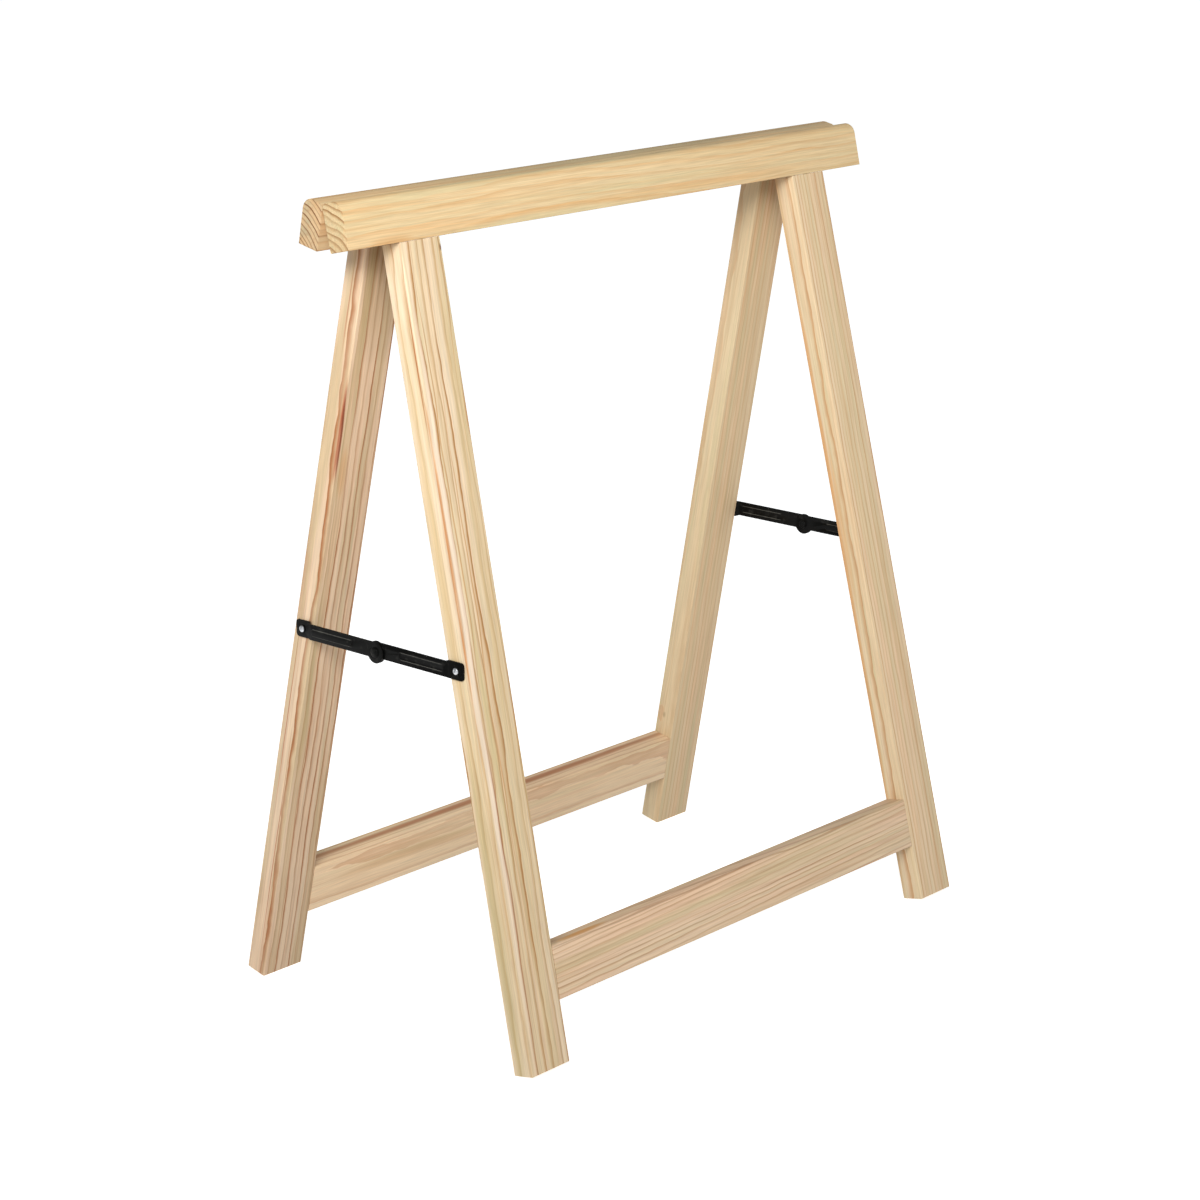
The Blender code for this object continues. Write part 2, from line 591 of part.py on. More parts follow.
def make_stay_screw(side, end, frame):
    """Pan-head screw that an arm turns on."""
    name = f"{END_NAMES[end]}_stay_{SIDE_NAMES[side]}_screw"
    seat = STAY_TAB_GAP + STAY_SHEET + GAP
    shank = STAY_SCREW_SHANK_RADIUS
    profile = dome(STAY_SCREW_HEAD_RADIUS, seat, STAY_SCREW_HEAD_HEIGHT)
    profile += [(shank, seat), (shank, 2 * shank - STAY_SCREW_DEPTH), (0, -STAY_SCREW_DEPTH)]
    bm = bmesh.new()
    turned(bm, profile, along((end, 0, 0), (0, 0, 0)))
    place = in_frame(side, end * leg_edge(STAY_SCREW_DOWN), STAY_SCREW_OUT, STAY_SCREW_DOWN)
    add_piece(name, to_mesh(name, bm, 40), ZINC, frame, place)


def make_rivet_half(side, end, arm):
    """Half of the knuckle rivet: the domed head in the outer arm, the flat tail in the inner arm."""
    inner = STAY_TAB_GAP + arm_lift(side)
    outer = inner + STAY_SHEET
    shank = RIVET_SHANK_RADIUS
    if side == BACK:
        name = f"{END_NAMES[end]}_stay_rivet_head"
        profile = dome(RIVET_HEAD_RADIUS, outer + GAP, RIVET_HEAD_HEIGHT)
        profile += [(shank, outer + GAP), (shank, inner + GAP / 2), (0, inner + GAP / 2)]
    else:
        name = f"{END_NAMES[end]}_stay_rivet_tail"
        low = inner - GAP - RIVET_TAIL_HEIGHT
        profile = [(0, outer - GAP / 2), (shank, outer - GAP / 2), (shank, inner - GAP),
                   (RIVET_TAIL_RADIUS, inner - GAP), (RIVET_TAIL_RADIUS, low + GAP),
                   (RIVET_TAIL_RADIUS - GAP, low), (0, low)]
    bm = bmesh.new()
    turned(bm, profile, along((end, 0, 0), (0, 0, 0)))
    knuckle = stay_point(side, end)(STAY_REACH, -STAY_OVER_CENTRE, 0)
    add_piece(name, to_mesh(name, bm, 40), BLACK_STEEL, arm, knuckle)


# ---------------------------------------------------------------- assembly
def make_timber_frame(side, frame):
    """Rail, legs, stretcher and dowels of one frame."""
    rail = make_rail(side, frame)
    legs = [make_leg(side, end, frame) for end in (LEFT, RIGHT)]
    stretcher = make_stretcher(side, frame)
    bores = add_cutter(f"{SIDE_NAMES[side]}_joint_bores", joint_bores(side), frame)
    for timber in [rail, stretcher, *legs]:
        combine(timber, bores, "DIFFERENCE")
    make_dowels(side, frame)
    return rail


def make_hinge_half(side, rail, frame):
    """Leaves and screws that one frame carries, let into its rail."""
    for mortise in hinge_mortises(side, frame):
        combine(rail, mortise, "DIFFERENCE")
    bores = hinge_screw_bores(side, frame)
    combine(rail, bores, "DIFFERENCE")
    for end in (LEFT, RIGHT):
        combine(make_leaf(side, end, frame), bores, "DIFFERENCE")
        make_hinge_screws(side, end, frame)


def make_stay_half(side, end, frame):
    """Arm, screw and rivet half that one frame carries at one end."""
    arm = make_arm(side, end, frame)
    make_stay_screw(side, end, frame)
    make_rivet_half(side, end, arm)


def build():
    """Model the whole sawhorse, standing open."""
    clear_scene()
    for side in (BACK, FRONT):
        frame = add_frame_empty(side)
        rail = make_timber_frame(side, frame)
        make_hinge_half(side, rail, frame)
        for end in (LEFT, RIGHT):
            make_stay_half(side, end, frame)
            if side == BACK:
                make_hinge_pin(end, frame)


build()
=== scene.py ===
"""Looks of the folding pine sawhorse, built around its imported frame.

Two pine frames are hinged along their top rails, and a jointed steel stay at each end holds them open.
X runs along the rails, -Y is the front and Z is up. "Out" is measured square to a frame, away from the
fold, and "down" along the frame from the hinge axis. All sizes are in metres.
"""

import sys
import json
import logging
import math
from collections.abc import Callable, Iterable, Sequence
from dataclasses import dataclass
from enum import Enum

import bmesh
import bpy
from mathutils import Matrix, Vector


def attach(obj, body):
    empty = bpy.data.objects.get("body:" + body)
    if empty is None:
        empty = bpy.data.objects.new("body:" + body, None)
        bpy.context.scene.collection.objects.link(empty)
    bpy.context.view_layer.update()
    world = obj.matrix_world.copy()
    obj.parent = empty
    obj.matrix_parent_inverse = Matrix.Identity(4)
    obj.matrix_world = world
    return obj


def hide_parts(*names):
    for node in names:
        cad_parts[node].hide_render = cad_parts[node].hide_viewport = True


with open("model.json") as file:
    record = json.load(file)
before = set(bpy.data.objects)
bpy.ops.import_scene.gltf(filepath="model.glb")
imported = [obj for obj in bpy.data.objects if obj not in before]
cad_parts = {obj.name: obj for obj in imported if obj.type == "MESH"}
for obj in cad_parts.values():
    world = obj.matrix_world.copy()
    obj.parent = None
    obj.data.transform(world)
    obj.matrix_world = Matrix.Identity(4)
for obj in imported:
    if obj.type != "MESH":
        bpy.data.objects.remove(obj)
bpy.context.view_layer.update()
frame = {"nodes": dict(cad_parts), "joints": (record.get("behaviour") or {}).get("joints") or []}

LOG = logging.getLogger("sawhorse")
# Two places nearer than this count as one.
TOUCH = 1e-5
Colour = tuple[float, float, float]
Point = Sequence[float]


class Side(Enum):
    """The two frames, by the sign of the side they stand on."""

    BACK = 1
    FRONT = -1

    @property
    def word(self) -> str:
        """Name of the side as the nodes spell it."""
        return self.name.lower()


class End(Enum):
    """The two ends of the sawhorse, by the sign of X."""

    LEFT = -1
    RIGHT = 1

    @property
    def word(self) -> str:
        """Name of the end as the nodes spell it."""
        return self.name.lower()


class Pick(Enum):
    """What an edit-mode tool works on."""

    EDGES = "EDGE"
    FACES = "FACE"


class Cut(Enum):
    """What a second solid does to the first."""

    REMOVE = "DIFFERENCE"
    JOIN = "UNION"


# ------------------------------------------------------------------------------------ shared sizes
@dataclass(frozen=True)
class Layout:
    """Sizes that several pieces share, and the places that follow from them."""

    splay: float = math.radians(12.5)
    lean: float = math.radians(1.5)
    rail_length: float = 0.678
    rail_height: float = 0.042
    rail_thickness: float = 0.0235
    rail_overhang: float = 0.0575
    leg_width: float = 0.0467
    leg_thickness: float = 0.023
    stretcher_height: float = 0.0478
    stretcher_above_foot: float = 0.055
    axis_below_top: float = 0.008
    rail_out: float = 0.001
    leg_out: float = 0.0012
    hinge_from_end: float = 0.150
    stay_down: float = 0.399
    stay_out: float = 0.012
    gap: float = 0.0003

    @property
    def axis_height(self) -> float:
        """Height of the hinge axis above the floor, as the fold joint has it."""
        fold = next(joint for joint in frame["joints"] if joint["name"] == "fold")
        return fold["pos_m"][2]

    @property
    def rail_bottom(self) -> float:
        """Depth of the rail's underside below the hinge axis."""
        return self.rail_height - self.axis_below_top

    @property
    def leg_top(self) -> float:
        """Depth of the leg's upper end below the hinge axis."""
        return self.rail_bottom + self.gap

    @property
    def foot(self) -> float:
        """Depth of the leg's foot below the hinge axis."""
        return (self.axis_height + self.leg_out * math.sin(self.splay)) / math.cos(self.splay)

    @property
    def stretcher_middle(self) -> float:
        """Depth of the stretcher's middle line below the hinge axis."""
        return self.foot - self.stretcher_above_foot - self.stretcher_height / 2

    @property
    def timber_out(self) -> float:
        """Distance from the hinge plane to the middle of the legs and the stretcher."""
        return self.leg_out + self.leg_thickness / 2

    def leg_edge(self, down: float) -> float:
        """Distance from the middle to a leg's outer edge at a depth."""
        at_rail = self.rail_length / 2 - self.rail_overhang
        return at_rail + math.tan(self.lean) * (down - self.rail_bottom)

    def leg_middle(self, down: float) -> float:
        """Distance from the middle to a leg's middle line at a depth."""
        return self.leg_edge(down) - self.leg_width / math.cos(self.lean) / 2

    def leg_inner(self, down: float) -> float:
        """Distance from the middle to a leg's inner edge at a depth."""
        return self.leg_edge(down) - self.leg_width / math.cos(self.lean)

    def tilt(self, side: Side) -> Matrix:
        """Matrix from a frame's own upright space to the open sawhorse."""
        lift = Matrix.Translation((0, 0, self.axis_height))
        return lift @ Matrix.Rotation(side.value * self.splay, 4, "X")

    def place(self, side: Side, x: float, out: float, down: float) -> Vector:
        """Place in a frame's own upright space."""
        return Vector((x, side.value * out, -down))


LAYOUT = Layout()


# ------------------------------------------------------------------------------------ hand tools
class Bench:
    """Hand tools. Each one works on a single mesh and leaves Blender in object mode."""

    @staticmethod
    def hold(obj: bpy.types.Object) -> None:
        """Make a piece the only selected and active one.

        Args:
            obj: The piece.
        """
        bpy.ops.object.select_all(action="DESELECT")
        obj.select_set(True)
        bpy.context.view_layer.objects.active = obj

    @staticmethod
    def block(name: str, size: Point, centre: Point = (0, 0, 0)) -> bpy.types.Object:
        """Start a piece from a block.

        Args:
            name: Name of the piece.
            size: Its length, width and thickness.
            centre: Its middle.

        Returns:
            The block, with its size and place in its mesh.
        """
        bpy.ops.object.select_all(action="DESELECT")
        bpy.ops.mesh.primitive_cube_add(size=1, location=centre)
        made = bpy.context.active_object
        made.name = name
        made.scale = size
        bpy.ops.object.transform_apply(location=True, rotation=False, scale=True)
        return made

    @staticmethod
    def choose(obj: bpy.types.Object, pick: Pick, test: Callable) -> None:
        """Enter edit mode with only some edges or faces selected.

        Args:
            obj: The piece.
            pick: Whether edges or faces are tested.
            test: Says of an edge or face whether it is wanted.
        """
        Bench.hold(obj)
        bpy.ops.object.mode_set(mode="EDIT")
        bpy.ops.mesh.select_mode(type=pick.value)
        bpy.ops.mesh.select_all(action="DESELECT")
        shape = bmesh.from_edit_mesh(obj.data)
        for item in list(shape.edges if pick is Pick.EDGES else shape.faces):
            if test(item):
                item.select_set(True)
        shape.select_flush_mode()
        bmesh.update_edit_mesh(obj.data)

    @staticmethod
    def done() -> None:
        """Leave edit mode."""
        bpy.ops.object.mode_set(mode="OBJECT")

    @staticmethod
    def round_edges(obj: bpy.types.Object, radius: float, segments: int, test: Callable) -> None:
        """Round chosen edges of a piece.

        Args:
            obj: The piece.
            radius: Radius of the rounding.
            segments: Number of flats that stand for the curve.
            test: Says of an edge whether it is rounded.
        """
        Bench.choose(obj, Pick.EDGES, test)
        bpy.ops.mesh.bevel(offset=radius, segments=segments, profile=0.5, affect="EDGES")
        Bench.done()

    @staticmethod
    def saw(obj: bpy.types.Object, point: Point, normal: Point, remove: bool = True) -> None:
        """Cut a piece along a plane.

        Args:
            obj: The piece.
            point: A point of the plane.
            normal: The plane's normal, towards the offcut.
            remove: Whether the offcut is taken away and the cut closed.
        """
        Bench.choose(obj, Pick.FACES, lambda face: True)
        bpy.ops.mesh.bisect(plane_co=point, plane_no=normal, use_fill=remove, clear_outer=remove,
                            threshold=TOUCH / 10)
        Bench.done()

    @staticmethod
    def work(obj: bpy.types.Object, tool: bpy.types.Object, cut: Cut) -> None:
        """Cut a second solid from a piece, or join it on, and put the second solid away.

        Args:
            obj: The piece.
            tool: The second solid.
            cut: What is done with it.
        """
        modifier = obj.modifiers.new(cut.name.lower(), "BOOLEAN")
        modifier.operation = cut.value
        modifier.solver = "EXACT"
        modifier.object = tool
        Bench.hold(obj)
        bpy.ops.object.modifier_apply(modifier=modifier.name)
        bpy.data.objects.remove(tool, do_unlink=True)

    @staticmethod
    def soften(obj: bpy.types.Object, width: float, segments: int, angle: float = 35) -> None:
        """Take the sharpness off every crisp edge.

        Args:
            obj: The piece.
            width: Width of the softened edge.
            segments: Number of flats in it.
            angle: Smallest turn between two faces, in degrees, that counts as an edge.
        """
        modifier = obj.modifiers.new("softened", "BEVEL")
        modifier.width = width
        modifier.segments = segments
        modifier.limit_method = "ANGLE"
        modifier.angle_limit = math.radians(angle)
        modifier.use_clamp_overlap = True
        Bench.hold(obj)
        bpy.ops.object.modifier_apply(modifier=modifier.name)

    @staticmethod
    def turn(name: str, profile: Sequence[tuple[float, float]], steps: int = 32) -> bpy.types.Object:
        """Turn a piece on the lathe, about Z.

        Args:
            name: Name of the piece.
            profile: Radius and height of each ring, from one flat end to the other.
            steps: Number of flats round it.

        Returns:
            The turned piece.
        """
        bpy.ops.object.select_all(action="DESELECT")
        radius, height = profile[0]
        bpy.ops.mesh.primitive_circle_add(vertices=steps, radius=radius, fill_type="NGON",
                                          location=(0, 0, height))
        made = bpy.context.active_object
        made.name = name
        bpy.ops.object.transform_apply(location=True, rotation=False, scale=False)
        Bench.choose(made, Pick.FACES, lambda face: True)
        for next_radius, next_height in profile[1:]:
            bpy.ops.mesh.extrude_region_move(
                TRANSFORM_OT_translate={"value": (0, 0, next_height - height)})
            ratio = next_radius / radius
            bpy.ops.transform.resize(value=(ratio, ratio, 1), center_override=(0, 0, next_height))
            radius, height = next_radius, next_height
        Bench.done()
        Bench.face_out(made)
        return made

    @staticmethod
    def face_out(obj: bpy.types.Object) -> None:
        """Turn every face of a closed piece outwards.

        Args:
            obj: The piece.
        """
        Bench.choose(obj, Pick.FACES, lambda face: True)
        bpy.ops.mesh.normals_make_consistent(inside=False)
        Bench.done()

    @staticmethod
    def settle(obj: bpy.types.Object, matrix: Matrix) -> None:
        """Move a piece to its place, and keep the place in its mesh.

        Args:
            obj: The piece, at the origin.
            matrix: Its place; a mirrored one is allowed.
        """
        obj.matrix_world = matrix @ obj.matrix_world
        Bench.hold(obj)
        bpy.ops.object.transform_apply(location=True, rotation=True, scale=True)
        Bench.face_out(obj)

    @staticmethod
    def smooth(obj: bpy.types.Object, angle: float = 32) -> None:
        """Shade a piece smooth across every edge that turns less than an angle in degrees."""
        Bench.hold(obj)
        bpy.ops.object.shade_smooth_by_angle(angle=math.radians(angle))


def frame_of(x_axis: Point, y_axis: Point, z_axis: Point, origin: Point = (0, 0, 0)) -> Matrix:
    """Matrix with the given axes as its columns.

    Args:
        x_axis: Direction of its X.
        y_axis: Direction of its Y.
        z_axis: Direction of its Z.
        origin: Its place.

    Returns:
        The matrix.
    """
    matrix = Matrix((x_axis, y_axis, z_axis)).transposed().to_4x4()
    matrix.translation = Vector(origin)
    return matrix


def standing_on(direction: Point, origin: Point) -> Matrix:
    """Matrix that stands local Z along a direction at a place."""
    turn = Vector((0, 0, 1)).rotation_difference(Vector(direction).normalized())
    return Matrix.Translation(Vector(origin)) @ turn.to_matrix().to_4x4()


class Shelf:
    """Shapes that repeat. Each is modelled once, and each of its copies has its own mesh."""

    def __init__(self) -> None:
        """Start with an empty shelf."""
        self.shapes: dict[str, bpy.types.Object] = {}

    def copy(self, kind: str, name: str, model: Callable[[], bpy.types.Object],
             matrix: Matrix) -> bpy.types.Object:
        """Copy a shape to its place. The shape is modelled when it is first asked for.

        Args:
            kind: What the shape is.
            name: Name of the copy.
            model: Models the shape.
            matrix: Place of the copy; a mirrored one is allowed.

        Returns:
            The copy.
        """
        if kind not in self.shapes:
            self.shapes[kind] = model()
        Bench.hold(self.shapes[kind])
        bpy.ops.object.duplicate(linked=False)
        made = bpy.context.active_object
        made.name = name
        Bench.settle(made, matrix)
        return made

    def clear(self) -> None:
        """Put the first shapes away, once every copy is made."""
        for shape in self.shapes.values():
            bpy.data.objects.remove(shape, do_unlink=True)
        self.shapes.clear()


SHELF = Shelf()


def rod(name: str, radius: float, length: float, matrix: Matrix, steps: int = 24) -> bpy.types.Object:
    """Copy a plain rod to a place.

    Args:
        name: Name of the rod.
        radius: Its radius.
        length: Its length, along its own Z.
        matrix: Place of its middle.
        steps: Number of flats round it.

    Returns:
        The rod.
    """
    ends = ((radius, -length / 2), (radius, length / 2))
    kind = f"rod {radius:.5f} by {length:.5f} in {steps}"
    return SHELF.copy(kind, name, lambda: Bench.turn("rod", ends, steps), matrix)


def dome(radius: float, base: float, height: float, edge: float,
         angles: Sequence[float]) -> list[tuple[float, float]]:
    """Lathe profile of a domed head, above its upright edge.

    Args:
        radius: Radius of the head.
        base: Height of its seat.
        height: Height of the whole head.
        edge: Share of the height that is upright edge.
        angles: Angles of the rings on the dome, in degrees.

    Returns:
        Radius and height of each ring.
    """
    turns = [math.radians(angle) for angle in angles]
    return [(radius * math.cos(turn), base + height * (edge + (1 - edge) * math.sin(turn))) for turn in turns]


def cross_recess(screw: bpy.types.Object, size: Point, height: float, turn: float) -> None:
    """Cut a cross recess into the head of a screw that stands on its point.

    Args:
        screw: The screw.
        size: Length, width and depth of each slot.
        height: Height of the slots' middle.
        turn: Turn of the cross in degrees.
    """
    def blade() -> bpy.types.Object:
        """Shape one blade of the driver, tapered towards its tip.

        Returns:
            The blade.
        """
        made = Bench.block("driver_blade", size)
        Bench.choose(made, Pick.FACES, lambda face: face.normal.z < -0.5)
        bpy.ops.transform.resize(value=(0.45, 0.8, 1), center_override=(0, 0, 0))
        Bench.done()
        return made

    for quarter in (0, 90):
        spot = Matrix.Rotation(math.radians(turn + quarter), 4, "Z") @ Matrix.Translation((0, 0, height))
        Bench.work(screw, SHELF.copy(f"blade {size[0]:.5f}", "driver_blade", blade, spot), Cut.REMOVE)


# ------------------------------------------------------------------------------------ shader maths
class Signal:
    """A number that varies over a surface, for use in Python expressions."""

    def __init__(self, graph: "Graph", socket: bpy.types.NodeSocket) -> None:
        """Wrap a socket of a graph."""
        self.graph = graph
        self.socket = socket

    def __add__(self, other: "Signal | float") -> "Signal":
        """Sum."""
        return self.graph.maths("ADD", self, other)

    __radd__ = __add__

    def __sub__(self, other: "Signal | float") -> "Signal":
        """Difference."""
        return self.graph.maths("SUBTRACT", self, other)

    def __rsub__(self, other: float) -> "Signal":
        """Difference from a number."""
        return self.graph.maths("SUBTRACT", other, self)

    def __mul__(self, other: "Signal | float") -> "Signal":
        """Product."""
        return self.graph.maths("MULTIPLY", self, other)

    __rmul__ = __mul__

    def __truediv__(self, other: "Signal | float") -> "Signal":
        """Quotient."""
        return self.graph.maths("DIVIDE", self, other)

    def __rtruediv__(self, other: float) -> "Signal":
        """Quotient of a number."""
        return self.graph.maths("DIVIDE", other, self)

    def __pow__(self, power: float) -> "Signal":
        """Power."""
        return self.graph.maths("POWER", self, power)


class Graph:
    """The nodes of one finish, or of the studio's surroundings, with the shader that they feed."""

    def __init__(self, owner: bpy.types.Material | bpy.types.World) -> None:
        """Start the nodes of a material or a world.

        Args:
            owner: The new material or world.
        """
        owner.use_nodes = True
        self.owner = owner
        self.tree = owner.node_tree
        self.shader = next(n for n in self.tree.nodes if n.type in ("BSDF_PRINCIPLED", "BACKGROUND"))

    @classmethod
    def named(cls, name: str) -> "Graph":
        """Start a material of its own name, with a bare principled shader."""
        return cls(bpy.data.materials.new(name))

    def add(self, kind: str, settings: dict | None = None, sockets: dict | None = None) -> bpy.types.Node:
        """Add a node.

        Args:
            kind: Type of the node.
            settings: Its own settings, set first; "stops" holds a ramp's (place, colour) pairs.
            sockets: Values or links of its sockets, by name or number.

        Returns:
            The node.
        """
        node = self.tree.nodes.new(kind)
        for key, value in (settings or {}).items():
            if key == "stops":
                self.set_stops(node.color_ramp, value)
            else:
                setattr(node, key, value)
        for key, value in (sockets or {}).items():
            self._feed(node.inputs[key], value)
        return node

    @staticmethod
    def set_stops(ramp: bpy.types.ColorRamp, stops: Sequence[tuple[float, Colour]]) -> None:
        """Give a ramp its stops.

        Args:
            ramp: The ramp.
            stops: Place and colour of each stop, in order.
        """
        while len(ramp.elements) < len(stops):
            ramp.elements.new(1.0)
        for element, (place, colour) in zip(ramp.elements, stops):
            element.position = place
            element.color = (*colour, 1.0)

    def _feed(self, socket: bpy.types.NodeSocket, value: object) -> None:
        """Set a socket, or link a signal into it.

        Args:
            socket: The socket.
            value: Its value, or the signal that feeds it.
        """
        if isinstance(value, Signal):
            self.tree.links.new(value.socket, socket)
        elif isinstance(value, tuple) and socket.type == "RGBA":
            socket.default_value = (*value, 1.0)
        else:
            socket.default_value = value

    def maths(self, operation: str, *values: "Signal | float") -> Signal:
        """Math node on up to three numbers."""
        node = self.add("ShaderNodeMath", {"operation": operation}, dict(enumerate(values)))
        return Signal(self, node.outputs[0])

    def vector(self, operation: str, *values: "Signal | Point") -> Signal:
        """Vector Math node whose result is a vector."""
        node = self.add("ShaderNodeVectorMath", {"operation": operation}, dict(enumerate(values)))
        return Signal(self, node.outputs["Vector"])

    def step(self, value: Signal, low: float, high: float) -> Signal:
        """Smooth rise from 0 to 1 between two levels.

        Args:
            value: The signal.
            low: Level that gives 0.
            high: Level that gives 1; when it is the lower one, the result falls.

        Returns:
            The stepped signal.
        """
        flip = high < low
        ends = {"From Min": min(low, high), "From Max": max(low, high),
                "To Min": 1.0 if flip else 0.0, "To Max": 0.0 if flip else 1.0}
        node = self.add("ShaderNodeMapRange", {"interpolation_type": "SMOOTHSTEP"}, {"Value": value, **ends})
        return Signal(self, node.outputs["Result"])

    def mix(self, share: "Signal | float", first: "Signal | Colour", second: "Signal | Colour",
            blend: str = "MIX") -> Signal:
        """Mix of two colours.

        Args:
            share: How much of the second colour shows.
            first: The first colour.
            second: The second colour.
            blend: How the second is laid over the first.

        Returns:
            The mixed colour.
        """
        settings = {"data_type": "RGBA", "blend_type": blend, "clamp_factor": True}
        node = self.add("ShaderNodeMix", settings, {0: share, 6: first, 7: second})
        return Signal(self, node.outputs[2])

    def space(self, matrix: Matrix) -> Signal:
        """Position measured in a piece's own space.

        Args:
            matrix: The piece's place.

        Returns:
            The position.
        """
        seen = self.add("ShaderNodeTexCoord")
        sockets = {"Vector": Signal(self, seen.outputs["Object"]), "Location": tuple(matrix.translation),
                   "Rotation": tuple(matrix.to_euler())}
        node = self.add("ShaderNodeMapping", {"vector_type": "TEXTURE"}, sockets)
        return Signal(self, node.outputs["Vector"])

    def parts(self, vector: Signal) -> tuple[Signal, Signal, Signal]:
        """The three measures of a position."""
        node = self.add("ShaderNodeSeparateXYZ", None, {0: vector})
        return Signal(self, node.outputs[0]), Signal(self, node.outputs[1]), Signal(self, node.outputs[2])

    def join(self, first: Signal | float, second: Signal | float, third: Signal | float) -> Signal:
        """Position made of three measures."""
        node = self.add("ShaderNodeCombineXYZ", None, {0: first, 1: second, 2: third})
        return Signal(self, node.outputs[0])

    def noise(self, where: Signal, stretch: Point, shift: float, detail: float = 2.0,
              roughness: float = 0.5) -> Signal:
        """Cloudy pattern around 0.5.

        Args:
            where: Position.
            stretch: Number of clouds in a metre along each axis.
            shift: Moves the pattern, so that no two are the same.
            detail: Levels of finer clouds.
            roughness: Strength of the finer clouds.

        Returns:
            The pattern's value.
        """
        scaled = self.vector("MULTIPLY_ADD", where, tuple(stretch), (shift, shift * 1.7, shift * 0.6))
        node = self.add("ShaderNodeTexNoise", {"noise_dimensions": "3D"},
                        {"Vector": scaled, "Scale": 1.0, "Detail": detail, "Roughness": roughness})
        return Signal(self, node.outputs["Fac"])

    def random(self, number: Signal) -> Signal:
        """A fresh random number from 0 to 1 for each whole number."""
        node = self.add("ShaderNodeTexWhiteNoise", {"noise_dimensions": "1D"}, {"W": number})
        return Signal(self, node.outputs["Value"])

    def bump(self, height: Signal, strength: float, distance: float) -> Signal:
        """Normal of a surface with a fine relief.

        Args:
            height: Height of the relief, from 0 to 1.
            strength: How strongly it shows.
            distance: How deep it is.

        Returns:
            The normal.
        """
        node = self.add("ShaderNodeBump", None,
                        {"Height": height, "Strength": strength, "Distance": distance})
        return Signal(self, node.outputs["Normal"])

    def finish(self, links: dict) -> bpy.types.Material | bpy.types.World:
        """Feed the shader.

        Args:
            links: Value or signal for each of its sockets, by name.

        Returns:
            The material or the world.
        """
        for key, value in links.items():
            self._feed(self.shader.inputs[key], value)
        return self.owner


def paint(red: int, green: int, blue: int) -> Colour:
    """Linear colour of a screen colour.

    Args:
        red: Its red, from 0 to 255.
        green: Its green.
        blue: Its blue.

    Returns:
        The linear colour.
    """
    def linear(step: int) -> float:
        """Linear value of one step, by the standard curve of screens."""
        share = step / 255
        return share / 12.92 if share <= 0.04045 else ((share + 0.055) / 1.055) ** 2.4
    return linear(red), linear(green), linear(blue)


# ------------------------------------------------------------------------------------ finishes
@dataclass(frozen=True)
class Knot:
    """A knot, a stain or a band of painted shade in a board: where it is, how big, how dark, and how far it
    pushes the rings aside.
    """

    place: tuple[float, float, float]
    size: tuple[float, float, float]
    colour: Colour = paint(150, 96, 52)
    strength: float = 1.0
    push: float = 0.0


